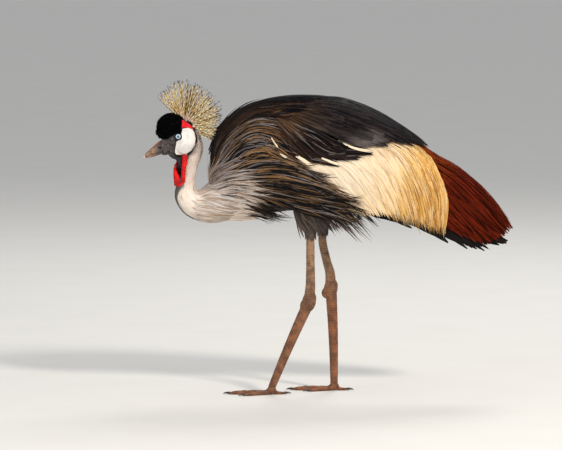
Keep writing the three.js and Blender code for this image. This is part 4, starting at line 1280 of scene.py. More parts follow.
def covert_colour(x, z, t, s, tone):
    """White by the shoulder, cream in the middle and gold behind, with deeper streaks."""
    warmth = ease(0, 225, x - 0.2 * (z - 400)) + 0.10 * (tone - 0.5)
    deep = ease(0.6, 1.0, warmth) * (0.25 + 0.6 * (tone > 0.45) + 0.15 * ease(480, 380, z))
    ground = layers(COVERT_WHITE, (COVERT_CREAM, ease(0.0, 0.4, warmth) * (0.4 + 0.8 * tone)),
                    (COVERT_STRAW, ease(0.4, 0.85, warmth)), (COVERT_GOLD, deep))
    trim = layers(ground, (COVERT_GOLD, 0.5 * (tone > 0.5) + 0.2 * ease(0.5, 0.9, warmth)),
                  (COVERT_WHITE, 0.6 * (tone < 0.3)))
    return speckle(ground, tone, 0.06), trim


def covert_line(x, z, t, s, tone):
    """Pale and deep gold lines over the coverts."""
    warmth = ease(40, 200, x - 0.2 * (z - 400))
    ground = layers(covert_colour(x, z, t, s, tone)[0], (COVERT_WHITE, (tone < 0.3) * mix(0.7, 0.35, warmth)),
                    (COVERT_DEEP_GOLD, (tone > 0.72) * mix(0.12, 0.75, warmth)))
    return ground, ground * 0.8


def secondary_colour(x, z, t, s, tone):
    # Painted highlight: the upper front of the chestnut plumes is painted lighter, as where light falls on it.
    painted_highlight = ease(275, 200, x) * ease(415, 470, z) * (0.35 + 0.65 * tone) * (tone < 0.7)
    ground = layers(CHESTNUT, (CHESTNUT_DARK, 0.8 * (tone > 0.62) + 0.2 * tone), (CHESTNUT_HIGHLIGHT, painted_highlight))
    return speckle(ground, (tone * 7) % 1, 0.3), fade(ground * 1.25, CHESTNUT_DARK, 0.85 * (tone > 0.45))


def black_colour(*place):
    ground = speckle(QUILL_BLACK, place[-1], 0.3)
    return ground, ground * 1.6


LINES = {"stations": 6, "slope": 0.0, "thick": 0.35}  # how thin feathers that draw lines over a tract are made


def make_wings():
    """The wings' tracts on each side, each tract in one piece."""
    slate = plumage("slate_plumage", 0.75, 0.4, 0.45, 0.8, 0.15)
    dark = plumage("mantle_plumage", 0.45, 0.35, 0.5, 0.65, 0.06)
    pale = plumage("pale_covert_plumage", 0.5, 0.35, 0.16, 0.75, 0.2, 10)
    rust = plumage("chestnut_plumage", 0.6, 0.5, 0.5, 0.8, 0.05)
    black = plumage("black_quill_plumage", 0.4, 0.6, 0.3, 0.6, 0.12)
    for side, name in SIDES:
        coat = Coat(side)
        lay_tract(coat, PRIMARY_KEYS, 4, 13, (0.1, 0.5), 0.52, 15, [-4, -4, -4], black_colour, 21,
                  rise=2, waist=0.8, point=0.16, belly=0.4, power=2.2, slope=0.14, wander=0.012)
        coat.make(f"primary_quills_{name}", black, "plumage_black", f"primaries_{name}")

        coat = Coat(side)
        lay_tract(coat, SECONDARY_KEYS, 10, 30, (0.0, 0.64), 0.38, 9, [-8, 0, 0, 0, 0], secondary_colour, 31,
                  rise=2.6, waist=0.7, point=0.3, power=2.6, slope=0.16, wander=0.01, reach_jitter=0.06)
        lay_tract(coat, SECONDARY_KEYS, 12, 60, (0.15, 0.72), 0.26, 2.2, [0, 2, 3, 3, 3], secondary_colour, 33,
                  rise=1.6, waist=0.6, point=0.1, wander=0.035, **LINES)
        coat.make(f"secondary_plumes_{name}", rust, "plumage_chestnut", f"secondaries_{name}")

        coat = Coat(side)
        lay_tract(coat, COVERT_KEYS, 10, 50, (0.0, 0.58), 0.46, 8.5, [-8, 3.5, 4.4, 4.4, 4.4], covert_colour, 41,
                  rise=2.4, waist=0.65, point=0.08, slope=0.08, wander=0.012)
        lay_tract(coat, COVERT_KEYS, 10, 80, (0.05, 0.66), 0.36, 1.7, [4, 6.0, 6.4, 6.4], covert_line, 43,
                  rise=1.2, waist=0.6, point=0.12, **LINES)
        lay_tract(coat, COVERT_KEYS, 3, 90, (0.6, 0.76), 0.34, 1.4, [4, 4.0, 4.0, 3.0], covert_line, 45,
                  rise=1.2, waist=0.6, point=0.12, wander=0.03, span=(0.35, 1), beyond=0.05, **LINES)
        for slip, count, width in SLIPS:
            lay_tract(coat, slip, 2, count, (0.0, 0.3), 0.7, width, [9, 14.5, 11], slip_colour, 47,
                      stations=6, rise=0.5, waist=0.2, slope=0.0, wander=0.004)
        coat.make(f"pale_coverts_{name}", pale, "plumage_cream", f"wing_{name}")

        coat = Coat(side)
        lay_tract(coat, SCAPULAR_KEYS, 7, 11, (0.0, 0.52), 0.5, 20, [-1, 7.5, 8.5, 8.5, 7.5], scapular_colour, 51,
                  rise=2.2, waist=0.45, point=0.08, belly=0.6, power=2.4, wander=0.01)
        lay_tract(coat, SCAPULAR_KEYS, 9, 34, (0.05, 0.7), 0.28, 2.6, [3, 9.6, 10.8, 10.8, 9.6], scapular_colour, 53,
                  rise=1.2, **LINES)
        for k, lobe in enumerate(LOBES):
            lay_tract(coat, lobe, 5, 6, (0.0, 0.5), 0.5, 13, [2, 7.5, 8.5, 7.0], scapular_colour, 56 + k,
                      rise=1.8, belly=0.55, power=2.0, wander=0.006, reach_jitter=0.05)
            lay_tract(coat, lobe, 5, 14, (0.1, 0.68), 0.34, 1.8, [4, 9.8, 10.8, 9.2], lobe_colour, 66 + k,
                      rise=1.0, wander=0.012, **LINES)
        lay_tract(coat, MANTLE_KEYS, 13, 13, (0.0, 0.74), 0.3, 12, [-4, 0.5, 2.5, 3.5, 5.0], mantle_colour, 55,
                  rise=2.4, waist=0.6, point=0.1, wander=0.012)
        lay_tract(coat, MANTLE_KEYS, 12, 30, (0.0, 0.76), 0.24, 2.0, [-3, 3, 5, 6, 7.0], mantle_line, 57,
                  rise=1.2, **LINES)
        lay_tract(coat, RIDGE_KEYS, 11, 4, (0.0, 0.76), 0.3, 14, [-1, 2.5, 4.0, 4.6, 5.2], ridge_colour, 59,
                  rise=2.2, waist=0.6, point=0.1, slope=0.0, wander=0.004)
        coat.make(f"mantle_feathers_{name}", dark, "plumage_black")

        coat = Coat(side)
        lay_tract(coat, CAPE_KEYS, 11, 42, (0.0, 0.6), 0.34, 6.4, [-7, 0, 6.5, 9.5, 9.5], cape_colour, 61,
                  rise=2.4, waist=0.55, slope=0.08)
        lay_tract(coat, CAPE_KEYS, 12, 84, (0.0, 0.66), 0.44, 2.3, [-5, 2.5, 8.5, 11.5, 11.5], strand_colour, 63,
                  rise=1.4, wander=0.018, reach_jitter=0.35, span=(0.04, 1), **{**LINES, "stations": 9})
        lay_tract(coat, CAPE_KEYS, 3, 44, (0.66, 0.86), 0.32, 1.9, [-5, 2.5, 8.5, 12, 13.5], strand_colour, 64,
                  rise=1.0, waist=0.7, point=0.04, wander=0.05, span=(0.4, 1), reach_jitter=0.4, beyond=0.17,
                  **{**LINES, "stations": 8})
        lay_tract(coat, FRINGE_KEYS, 4, 50, (0.0, 0.45), 0.42, 2.2, [1, 9, 13, 13], fringe_colour, 65,
                  rise=0.8, waist=0.6, point=0.05, wander=0.03, reach_jitter=0.3, **{**LINES, "stations": 8})
        coat.make(f"cape_hackles_{name}", slate, "plumage_slate")


# Neck, breast, belly, thighs and tail

def tube_home(t, angle):
    return stacked(0.02 + 0.96 * ((angle / (2 * PI)) % 1), 0.02 + 0.96 * t)


def spaced(rng, count):
    """Shares from 0 to 1, one in each of so many equal steps."""
    return (np.arange(count) + rng.uniform(0, 1, count)) / count


def tones(rng, count):
    return rng.uniform(0, 1, (count, 1))


def straight(root, tip, t):
    """Centre lines from roots to tips."""
    return root[:, None] + (tip - root)[:, None] * t[..., None]


def neck_home(roots):
    return tube_home(np.clip((roots[:, 0] + 320) / 150, 0, 1), np.arctan2(roots[:, 1], roots[:, 2] - 420))


NECK_LINE = even_table([(s[0], s[2]) for s in NECK])(np.linspace(0, 1, 240))
NECK_WAY = unit(np.gradient(NECK_LINE, axis=0))
BREAST_SLOPE = smooth_table([[335, 0.12], [352, 0.02], [372, -0.16], [395, -0.08], [412, 0.06], [440, 0.3]])


def neck_flow(p):
    """Down the neck, round its bend and back along the breast, fanned out under the cape."""
    gap = np.hypot(p[:, None, 0] - NECK_LINE[None, :, 0], p[:, None, 2] - NECK_LINE[None, :, 1])
    way = NECK_WAY[gap.argmin(1)]
    x, y, z = p.T
    back = unit(stacked(1, 0.1 * np.sign(y), BREAST_SLOPE(np.clip(z, 335, 440))[..., 0]))
    back = fade(back, unit(stacked(np.maximum(x + 268, 1), 0, z - 402)), ease(400, 424, z))
    return unit(fade(stacked(way[:, 0], 0, way[:, 1]), back, ease(-262, -232, x)))


NECK_LIFT = smooth_table([[-310, 2.4], [-285, 2.2], [-265, 1.6], [-246, 3.6], [-222, 7.6], [-190, 8.2], [-120, 8.0]])


def neck_lift(x, z):
    """Height of the feathers over the skin along the neck, and what the root of the neck under the cape adds."""
    return NECK_LIFT(np.clip(x, -310, -120))[..., 0], 5 * ease(-240, -205, x) * ease(395, 415, z)


NECK_TOP, NECK_BACK = 517, -240  # short feathers grow below and ahead of these
CHEST_TOP, CHEST_BACK = 440, -180  # and the long ones of the breast below and ahead of these


def make_neck(chest):
    """Short feathers down the neck that turn back and grow long over the breast."""
    neck, breast = Coat(), Coat()

    def upper(p):
        bend = p[:, 2] > 425 - 4.0 * (p[:, 0] + 290) * (p[:, 0] > -290)
        return (p[:, 2] < NECK_TOP) & (p[:, 0] < NECK_BACK) & bend

    def lower(p):
        slope = p[:, 2] < 428 - 0.5 * np.maximum(p[:, 0] - NECK_BACK, 0)
        front = (p[:, 2] < CHEST_TOP) & (p[:, 0] < CHEST_BACK) & slope
        return front & ~(upper(p) & (p[:, 2] > 405))

    for coat, keep, count, stations, seed in ((neck, upper, 4000, 5, 71), (breast, lower, 2300, 7, 72)):
        roots, _, rng = scatter(chest, count, seed, keep)
        x, z = roots[:, 0], roots[:, 2]
        length = mix(9, 17, ease(510, 430, z)) + 8 * ease(425, 395, z) + 42 * ease(-268, -225, x) * (z < 440)
        length = length * rng.uniform(0.8, 1.2, count)
        length = length * (1 - 0.72 * ease(408, 428, z) * (x > -262))
        length = np.minimum(length, np.maximum(-132 - 0.35 * (400 - z) - x, 8))
        centres, normals = comb(chest, roots, neck_flow, length, stations)
        t = steps(stations)
        px, pz = centres[..., 0], centres[..., 2]
        low, high = neck_lift(px, pz)
        lift = low * mix(0.1, 1.0, t ** 0.7) - 0.6
        lift = lift + rng.uniform(-0.5, 0.8, (count, 1)) * mix(0.4, 1.4, ease(-268, -225, x))[:, None] * t + high
        centres = centres + normals * lift[..., None]
        width = mix(1.8, 2.6, ease(500, 420, z)) + 1.2 * ease(-268, -225, x)
        halves = (width * rng.uniform(0.75, 1.15, count))[:, None] / 2 * feather_shape(t, 0.6, 0.08)
        tone = tones(rng, count)
        ground = face_or_neck(centres.reshape(-1, 3)).reshape(count, stations, 3)
        streaky = ease(-275, -240, px) * ease(425, 395, pz) * ease(14, 30, length)[:, None]
        root_grey = ease(-262, -246, px) * ease(404, 418, pz)
        trim = layers(ground, (BREAST_TAN, streaky * (0.05 + 0.4 * (tone > 0.7))), (DARK_NECK_GREY_AND_SHADE, 0.35 * (tone < 0.2)))
        ground = layers(ground, (BREAST_TAN, 0.15 * streaky * (tone > 0.8)), (HACKLE_GREY, 0.9 * root_grey),
                        (SLATE, 0.8 * root_grey * (tone > 0.5)))
        coat.add(blades(centres, normals, halves, 0.4, 0.3), speckle(ground, tone, 0.1), trim, neck_home(roots))
    lay_streaks(breast, chest)
    for side, _ in SIDES:
        lay_breast(breast, side)
    neck.make("neck_plumage", plumage("neck_plumage", 0.7, 0.2, 0.14, 0.85, 0.12, 8), "plumage_pale_grey")
    breast.make("breast_plumage", plumage("breast_plumage", 0.85, 0.35, 0.2, 0.8, 0.15, 8), "plumage_pale_grey")


def lay_streaks(coat, chest):
    """Thin gold, grey and white lines that sweep back over the breast."""
    count, stations = 600, 8
    roots, _, rng = scatter(chest, count, 73, lambda p: (p[:, 2] < 424) & (p[:, 0] < -172) & (p[:, 0] > -272))
    x = roots[:, 0]
    length = mix(24, 60, ease(-272, -225, x)) * rng.uniform(0.7, 1.2, count)
    length = np.minimum(length, np.maximum(-126 - 0.35 * (400 - roots[:, 2]) - x, 10))
    centres, normals = comb(chest, roots, neck_flow, length, stations)
    t = steps(stations)
    low, high = neck_lift(centres[..., 0], centres[..., 2])
    lift = low + 1.0 * t + rng.uniform(-0.1, 0.7, (count, 1)) * t + high - 1.6 * ease(0.12, 0.0, t)
    centres = centres + normals * lift[..., None]
    halves = rng.uniform(0.45, 0.85, (count, 1)) * feather_shape(t, 0.3, 0.1)
    tone = tones(rng, count)
    ground = layers(BREAST_GREY, (BREAST_TAN, 0.75 * (tone < 0.4)), (DARK_NECK_GREY_AND_SHADE, 0.45 * (tone > 0.84)),
                    (CHEEK_WHITE, (tone > 0.55) * (tone < 0.84)))
    coat.add(blades(centres, normals, halves, 0.35, 0.25), ground, ground * 0.85, neck_home(roots))


def face_or_neck(p):
    x, z = p[:, 0], p[:, 2]
    below = ease(480, 470, z) * np.maximum(ease(-296, -289, x), ease(445, 430, z))
    return fade(face_colours(p), neck_colours(p), below)


def lay_breast(coat, side):
    """Long plumes that stream back from the breast, the lowest with dark loose tips."""
    rng = np.random.default_rng(81 + side)
    t = steps(8)
    for r in range(7):
        count = 34
        s = spaced(rng, count)
        angle = mix(2.0, PI - 0.02, s)
        start = mix(-222, -172, r / 6) + rng.uniform(-6, 6, count)
        length = mix(46, 86, s) * rng.uniform(0.75, 1.15, count) * (1.0 + 0.3 * (r > 3) * rng.uniform(0, 1, count))
        x = start[:, None] + length[:, None] * t
        loose = ease(0.35, 0.8, s)[:, None]
        drop = ease(0.4, 1.0, t) * rng.uniform(-2, 8, (count, 1)) * loose + ease(-140, -70, x) * 13 * loose
        lift = mix(4.0, 1.5, ease(-230, -150, x)) + 2.4 * t + rng.uniform(-1.0, 1.4, (count, 1))
        turn = angle[:, None] + rng.normal(0, 0.04, (count, 1)) * t
        centres = torso_point(x, turn, side, lift)
        normals = torso_normal(x, turn, side)
        centres[..., 2] -= drop
        halves = rng.uniform(1.2, 2.2, (count, 1)) * feather_shape(t, 0.5, 0.04, 0.4, 1.1)
        tone = tones(rng, count)
        dark = ease(-158, -128, x - 0.7 * (385 - centres[..., 2])) * (0.25 + 0.75 * ease(0.2, 0.5, s)[:, None])
        ground = layers(BREAST_GREY, (BREAST_TAN, 0.6 * (tone > 0.86)), (SLATE_DARK, dark))
        trim = layers(BREAST_GREY, (BREAST_TAN, (tone > 0.65) * (0.2 + 0.6 * t)), (HACKLE_GOLD * 0.5, dark))
        coat.add(blades(centres, normals, halves, 0.4, 0.25, 0.1 * side), speckle(ground, tone, 0.08), trim,
                 cloak_home(side, x[:, 0], angle / PI))
    count = 22
    s = spaced(rng, count)
    angle = mix(2.0, 2.85, s)
    start = rng.uniform(-172, -142, count)
    root, skin = torso_point(start, angle, side, 4.0), torso_point(start, angle, side)
    fall = mix(36, 14, s) * rng.uniform(0.8, 1.15, count)
    tip = root + np.stack([rng.uniform(46, 72, count), side * rng.uniform(-5, 3, count), -fall], -1)
    centres = straight(root, tip, t)
    centres[..., 2] += 3 * np.sin(t * PI)
    normals = unit(root - skin)[:, None]
    halves = rng.uniform(1.4, 2.4, (count, 1)) * feather_shape(t, 0.4, 0.03, 0.4, 1.2)
    ground = fade(SLATE, SLATE_DARK, ease(0.0, 0.4, t))
    coat.add(blades(centres, normals, halves, 0.4, 0.25), ground,
             fade(ground, HACKLE_GOLD * 0.5, 0.7 * ease(0.5, 0.2, t)), cloak_home(side, start, angle / PI))


def make_underparts():
    """Belly and flanks under the wings, the thighs, and the loose plumes that trail behind them."""
    rng = np.random.default_rng(91)
    coat = Coat()
    t = steps(6)
    for side, _ in SIDES:
        for r in range(22):
            count = 20
            start = mix(-196, 132, r / 21) + rng.uniform(-5, 5, count)
            angle = mix(1.25, PI - 0.03, spaced(rng, count))
            x = start[:, None] + rng.uniform(34, 50, count)[:, None] * t
            lift = -2.5 + 4.5 * t + rng.uniform(-0.6, 0.6, (count, 1))
            turn = angle[:, None] + rng.normal(0, 0.05, (count, 1)) * t
            centres = torso_point(np.minimum(x, 160), turn, side, lift)
            centres[..., 0] = x
            normals = torso_normal(np.clip(x, -226, 150), turn, side)
            halves = rng.uniform(4.5, 6.5, (count, 1)) * feather_shape(t, 0.6, 0.1)
            ground = fade(SLATE_DARK, SLATE, 0.7 * tones(rng, count))
            coat.add(blades(centres, normals, halves, 0.45, 0.25, 0.1 * side), ground, fade(ground, HACKLE_GREY, 0.6),
                     cloak_home(side, x[:, 0], angle / PI))
    for leg in LEGS:
        lay_thigh(coat, leg)
    coat.make("underpart_plumage", plumage("underpart_plumage", 0.6, 0.4, 0.4, 0.7), "plumage_slate")


def lay_thigh(coat, leg):
    """Short feathers round the thigh, and long loose ones that hang beside and behind it."""
    side = leg.side
    rng = np.random.default_rng(101 + side)
    table = even_table(thigh_stops(leg))
    count, t = 1300, steps(5)
    t0 = rng.uniform(0.05, 0.93, count)
    angle = rng.uniform(0, 2 * PI, count)
    f = t0[:, None] + mix(0.26, 0.12, t0)[:, None] * t * rng.uniform(0.8, 1.2, (count, 1))
    turn = angle[:, None] + rng.normal(0, 0.1, (count, 1)) * t
    lift = -2 + 3.2 * t + rng.uniform(-0.4, 0.6, (count, 1))
    skin = tube_point(table, np.clip(f, 0, 1), turn)
    normals = unit(tube_point(table, np.clip(f, 0, 1), turn, 1.0) - skin)
    past = np.clip(f - 1, 0, 0.08)[..., None] * np.array([0, 0, -100.0])
    centres = skin + normals * lift[..., None] + past
    halves = mix(2.8, 1.2, t0)[:, None] * feather_shape(t, 0.6, 0.1)
    ground = fade(SLATE, LEG_GREY, 0.6 * tones(rng, count) * ease(0.2, 0.6, t0)[:, None])
    coat.add(blades(centres, normals, halves, 0.4, 0.3), ground, fade(ground, SLATE_DARK, 0.7),
             tube_home(t0, angle))

    count, t = 230, steps(8)
    s = rng.uniform(0, 1, count)
    root = np.stack([leg.thigh + mix(-36, 34, s), side * mix(50, 42, s) + rng.normal(0, 3, count),
                     mix(378, 388, s) + rng.uniform(-14, 10, count)], -1)
    trail = 30 * (rng.uniform(0, 1, count) > 0.8) * ease(0.4, 0.8, s)
    tip = root + np.stack([mix(16, 50, s) + rng.uniform(-6, 12, count) + trail,
                           side * mix(-4, 8, s) + rng.normal(0, 2, count),
                           -(mix(54, 47, s) + 0.7 * trail) * rng.uniform(0.6, 1.05, count)], -1)
    centres = straight(root, tip, t)
    centres[..., 1] += side * 7 * np.sin(t * PI)
    centres[..., 2] += mix(-5, 7, s)[:, None] * np.sin(t * PI)
    normals = unit(np.array([0.15, side, 0.1]))
    halves = rng.uniform(0.9, 2.1, (count, 1)) * feather_shape(t, 0.5, 0.05)
    tone = tones(rng, count)
    ground = layers(SLATE_DARK, (LEG_GREY, 0.15 + 0.6 * tone),
                    (SHAFT_GREY, 0.7 * (tone > 0.86) * ease(0.3, 0.6, s)[:, None]))
    coat.add(blades(centres, normals, halves, 0.4, 0.25), ground, fade(ground, HACKLE_GREY, 0.6 * (tone > 0.5)),
             tube_home(s * 0.3, s))


TAIL_QUILLS = 12
TAIL_ROOT = (172, 458)
TAIL_STOPS = [[172, 0.25, 459, 7], [225, 1.9, 414, 17], [285, 2.5, 358, 18], [345, 2.3, 300, 7]]


def make_tail():
    """Twelve quills, and loose feathers over their roots."""
    rng = np.random.default_rng(111)
    coat = Coat()
    t = steps(10)
    x, spread, z, _ = even_table(TAIL_STOPS)(t[0]).T
    for k in range(TAIL_QUILLS):
        rank = math.ceil(k / 2) * (1 if k % 2 == 0 else -1)
        reach = 1 - abs(rank) * 0.02
        back, down = mix(TAIL_ROOT[0], x, reach), mix(TAIL_ROOT[1], z, reach) - k * 1.2
        centres = np.stack([back, rank * spread, down], -1)[None]
        normals = unit(np.array([0.7, 0, 0.72]))
        coat.add(blades(centres, normals, 9 * feather_shape(t, 0.45, 0.2, 0.5, 3.0), 0.6, 0.15),
                 *black_colour(tones(rng, 1)), np.array([[0.05 + 0.07 * k, 0.5]]))
    count, t = 150, steps(6)
    angle = rng.uniform(-2.4, 2.4, count)
    root = np.stack([rng.uniform(140, 190, count), 15 * np.sin(angle),
                     462 + 14 * np.cos(angle) - rng.uniform(0, 22, count)], -1)
    tip = root + np.stack([rng.uniform(34, 60, count), rng.normal(0, 3, count), -rng.uniform(28, 52, count)], -1)
    centres = straight(root, tip, t)
    normals = unit(stacked(0.4, np.sin(angle), np.cos(angle)))[:, None]
    halves = rng.uniform(3.5, 5.5, (count, 1)) * feather_shape(t, 0.6, 0.1)
    coat.add(blades(centres, normals, halves, 0.45, 0.25), *black_colour(tones(rng, count)),
             tube_home(0.5, angle))
    coat.make("tail_feathers", plumage("tail_plumage", 0.3, 0.6, 0.3, 0.55, 0.2), "plumage_black", "tail")


# Head plumage

def lay_plush(name, material, slot, nodes, roots, vanes, ground, edge, corner, high):
    """One piece of plush on the head, with its place on the bake map from the corner and height it covers."""
    coat = Coat()
    home = stacked(0.02 + 0.48 * np.clip((roots[:, 0] - corner[0]) / 80, 0, 1) + 0.5 * (roots[:, 1] > 0),
                   0.02 + 0.96 * np.clip((roots[:, 2] - corner[1]) / high, 0, 1))
    coat.add(vanes, ground[:, None], ground[:, None] * edge, home)
    coat.make(name, material, slot, *nodes)


def make_cap(scalp):
    """The velvet cap: short dense plush."""
    roots, normals, rng = scatter(scalp, 5200, 121, lambda p: crown_share(p) > VELVET_EDGE)
    flow = np.array([0.75, 0, 0.45]) + rng.normal(0, 0.12, roots.shape)
    length = rng.uniform(4.2, 5.8, len(roots)) * mix(0.4, 1.0, ease(505, 520, roots[:, 2]))
    length *= mix(1.0, 0.3, ease(-300, -290, roots[:, 0]))
    vanes = tufts(roots, normals, flow, length, rng.uniform(0.7, 1.2, len(roots)), 0.5, 0.75)
    ground = speckle(VELVET, rng.uniform(0, 1, len(roots)), 0.35)
    lay_plush("cap_plush", plumage("velvet_cap", 0.2, 0.1, 0.3, 0.95, 0.05), "velvet_black", ["cap"], roots, vanes,
              ground, 1.8, (-345, 500), 66)


def make_face(scalp):
    """Tiny feathers on the lores, the chin, the throat and the nape."""
    def keep(p):
        x, z = p[:, 0], p[:, 2] - SEEN_DROP * np.abs(p[:, 1])
        away = np.hypot(x - EYE.x, p[:, 2] - EYE.z) > LID_RIM[1]
        bare = outline_distance(x, z, CHEEK_OUTLINE) > -1.6
        bare |= outline_distance(x, z, PATCH_OUTLINE) > -1.2
        return away & ~bare & (crown_share(p) < VELVET_EDGE) & (x > BILL_BASE)

    roots, normals, rng = scatter(scalp, 4600, 131, keep)
    flow = np.array([0.9, 0, -0.3]) + rng.normal(0, 0.15, roots.shape)
    down = ease(-285, -272, roots[:, 0])[:, None]
    flow = flow * (1 - down) + np.array([0.1, 0, -1.0]) * down
    back = ease(-325, -272, roots[:, 0])
    length = mix(1.8, 6.0, back) * rng.uniform(0.8, 1.2, len(roots))
    vanes = tufts(roots, normals, flow, length, mix(0.55, 1.3, back), 0.25, 0.2)
    tone = rng.uniform(0, 1, len(roots))
    ground = face_colours(roots)
    ground = fade(ground, ground * 2.2, 0.6 * ease(-298, -304, roots[:, 0]) * ((tone * 31) % 1 > 0.75))
    lay_plush("face_plumage", plumage("face_plumage", 0.3, 0.2, 0.25, 0.8, 0.2), "face_slate", [], roots, vanes,
              speckle(ground, tone, 0.35), 1.3, (-335, 450), 100)


# Crest

STRAW_LIGHT = srgb(255, 242, 198)
STRAW_DEEP = srgb(234, 188, 104)
STRAW_DARK = srgb(92, 60, 30)
CREST = Named(count=240, front=2.38, back=-0.5, spread=0.6, low=(-266, 526), high=(-300, 556))


def bristle_shape():
    """One straw-like bristle a metre long, to be shrunk: a narrow strip, twisted like a drill and drawn to a point."""
    stations, unit_length = 26, 1000.0
    t = np.linspace(0, 1, stations)[:, None]
    twist = t * 19.0
    a = np.array([0.0, PI / 2, PI, 3 * PI / 2])[None]
    taper = 1 - 0.45 * t
    u, w = 0.85 * np.cos(a) * taper, 0.26 * np.sin(a) * taper
    x = u * np.cos(twist) - w * np.sin(twist) + 1.6 * np.sin(t * 2.6) * t
    points, faces = skin_rings(stacked(x, u * np.sin(twist) + w * np.cos(twist), t * unit_length))
    height = np.concatenate([np.repeat(t[:, 0], 4), [0, 1.0]])
    points[:, 2] = height * unit_length
    obj = make_mesh("bristle", points, faces)
    obj.data.set_sharp_from_angle(angle=EDGE_CREASE)
    index = read(obj.data.loops, "vertex_index", 1, np.int32)[:, 0]
    around = np.concatenate([np.tile([0.0, 0.5, 1.0, 0.5], stations), [0.5, 0.5]])
    add_map(obj, "vane", stacked(around[index], height[index]))
    return obj


def crest_tree(material):
    """Bristles set on points, each turned along the point's own direction and stretched to its reach."""
    tree, given = new_group(
        "crest_bristles", "GeometryNodeTree",
        [("Geometry", "Geometry", None), ("Bristle", "Object", None), ("Girth", "Float", 1.0),
         ("Girth Change", "Float", 0.3), ("Seed", "Int", 5)], [("Geometry", "Geometry")])

    def stored(name, kind):
        return put(tree, "GeometryNodeInputNamedAttribute", {"Name": name}, data_type=kind)

    def chance(high):
        return put(tree, "FunctionNodeRandomValue", {2: 0.0, 3: high, "Seed": given["Seed"]}, 1, data_type="FLOAT")

    shape = put(tree, "GeometryNodeObjectInfo", {"Object": given["Bristle"]}, "Geometry")
    aligned = put(tree, "FunctionNodeAlignRotationToVector", {"Vector": stored("way", "FLOAT_VECTOR")}, axis="Z")
    turn = put(tree, "FunctionNodeAxisAngleToRotation", {"Axis": (0, 0, 1), "Angle": chance(2 * PI)})
    turned = put(tree, "FunctionNodeRotateRotation", {0: aligned, 1: turn}, rotation_space="LOCAL")
    girth = given["Girth"] + chance(1.0) * given["Girth Change"]
    size = put(tree, "ShaderNodeCombineXYZ", {0: girth, 1: girth, 2: stored("reach", "FLOAT")})
    placed = put(tree, "GeometryNodeInstanceOnPoints",
                 {"Points": given["Geometry"], "Instance": shape, "Rotation": turned, "Scale": size})
    solid = put(tree, "GeometryNodeRealizeInstances", {0: placed})
    painted = put(tree, "GeometryNodeSetMaterial", {"Geometry": solid, "Material": material})
    add_node(tree, "NodeGroupOutput", {0: painted})
    return tree


def crest_material():
    """Straw with painted shade down one side, pale at the root and black at the tip."""
    material, tree = new_material("crest_straw", 0.5, Specular_IOR_Level=0.4)
    across, along, _ = vane_place(tree)
    grain = noise(tree, object_place(tree), 260.0, 3.0)
    colour = grain.ramp(0.4, 0.8, 0.0, 0.4).over(colour_layer(tree, "ground"), STRAW_DEEP)
    # Painted shade: one side of each twisted bristle is painted dark, spiralling along it.
    colour = (across.ramp(0.36, 0.2) * 0.95).over(colour, srgb(52, 34, 14))
    colour = along.ramp(0.35, 0.0, 0.0, 0.6).over(colour, srgb(240, 214, 196))
    colour = along.ramp(0.9, 0.97).over(colour, srgb(42, 30, 20))
    return dress(material, colour, grain.ramp(0.3, 0.7, 0.42, 0.62), grain, 0.3, 0.0002)


def make_crest():
    """A fan of bristles, each with its own length and tone."""
    rng = np.random.default_rng(141)
    count = CREST.count
    s = 1 - (1 - spaced(rng, count)) ** 0.8
    turn = mix(CREST.back, CREST.front, s)
    lean = (((np.arange(count) * 0.618034) % 1) * 2 - 1) * CREST.spread * (1 - 0.45 * s * s)
    reach_at = smooth_table([[-0.5, 47], [-0.29, 53], [0.13, 60], [0.31, 67], [0.5, 73], [0.7, 75], [0.94, 76],
                             [1.35, 77], [1.69, 77], [1.97, 68], [2.4, 57]])
    reach = reach_at(turn)[:, 0] * (1 - 0.24 * rng.uniform(0, 1, count) ** 2)
    low, high, bulge = CREST.low, CREST.high, 6 * np.sin(s * PI)
    root = np.stack([mix(low[0], high[0], s) + 0.68 * bulge + rng.normal(0, 1.2, count), 3.0 * np.sin(lean * 2),
                     mix(low[1], high[1], s) + 0.73 * bulge + rng.normal(0, 1.0, count)], -1)
    points = bpy.data.meshes.new("crest_bristles")
    points.vertices.add(count)
    write(points.vertices, "co", root * MM)
    way = stacked(np.cos(turn) * np.cos(lean), np.sin(lean), np.sin(turn) * np.cos(lean))
    write(points.attributes.new("way", "FLOAT_VECTOR", "POINT").data, "vector", way)
    write(points.attributes.new("reach", "FLOAT", "POINT").data, "value", reach * MM)
    crest = new_object("crest_bristles", points)
    shape = bristle_shape()
    grow = crest.modifiers.new("bristles", "NODES")
    grow.node_group = crest_tree(crest_material())
    settings = {"Bristle": shape, "Girth": 1.05, "Girth Change": 0.65, "Seed": 5}
    for item in grow.node_group.interface.items_tree:
        if item.in_out == "INPUT" and item.name in settings:
            grow[item.identifier] = settings[item.name]
    each = len(shape.data.vertices)
    apply_modifiers(crest)
    bpy.data.objects.remove(shape)
    tone = tones(rng, count)
    # Painted shade: dark bristles in the middle of the fan make the gaps between the pale ones look shaded. A few
    # other bristles are dark at random.
    inner = (tone < 0.4) & (np.abs(lean)[:, None] < 0.2)
    straw = np.where(inner | (tone < 0.07), STRAW_DARK, fade(STRAW_LIGHT, STRAW_DEEP, tone[:, 0] ** 2))
    paint(crest, "ground", np.repeat(straw, each, 0))
    index = read(crest.data.loops, "vertex_index", 1, np.int32)[:, 0]
    home = np.clip(stacked(0.02 + 0.96 * s, 0.5 + lean / 1.4), *BAKE_INSIDE)[index // each]
    add_map(crest, "OFBake", home + (read(crest.data.uv_layers["vane"].data, "uv", 2) - 0.5) * BAKE_PATCH)
    finish_piece(crest, "crest_gold", "crest")


# Wattle

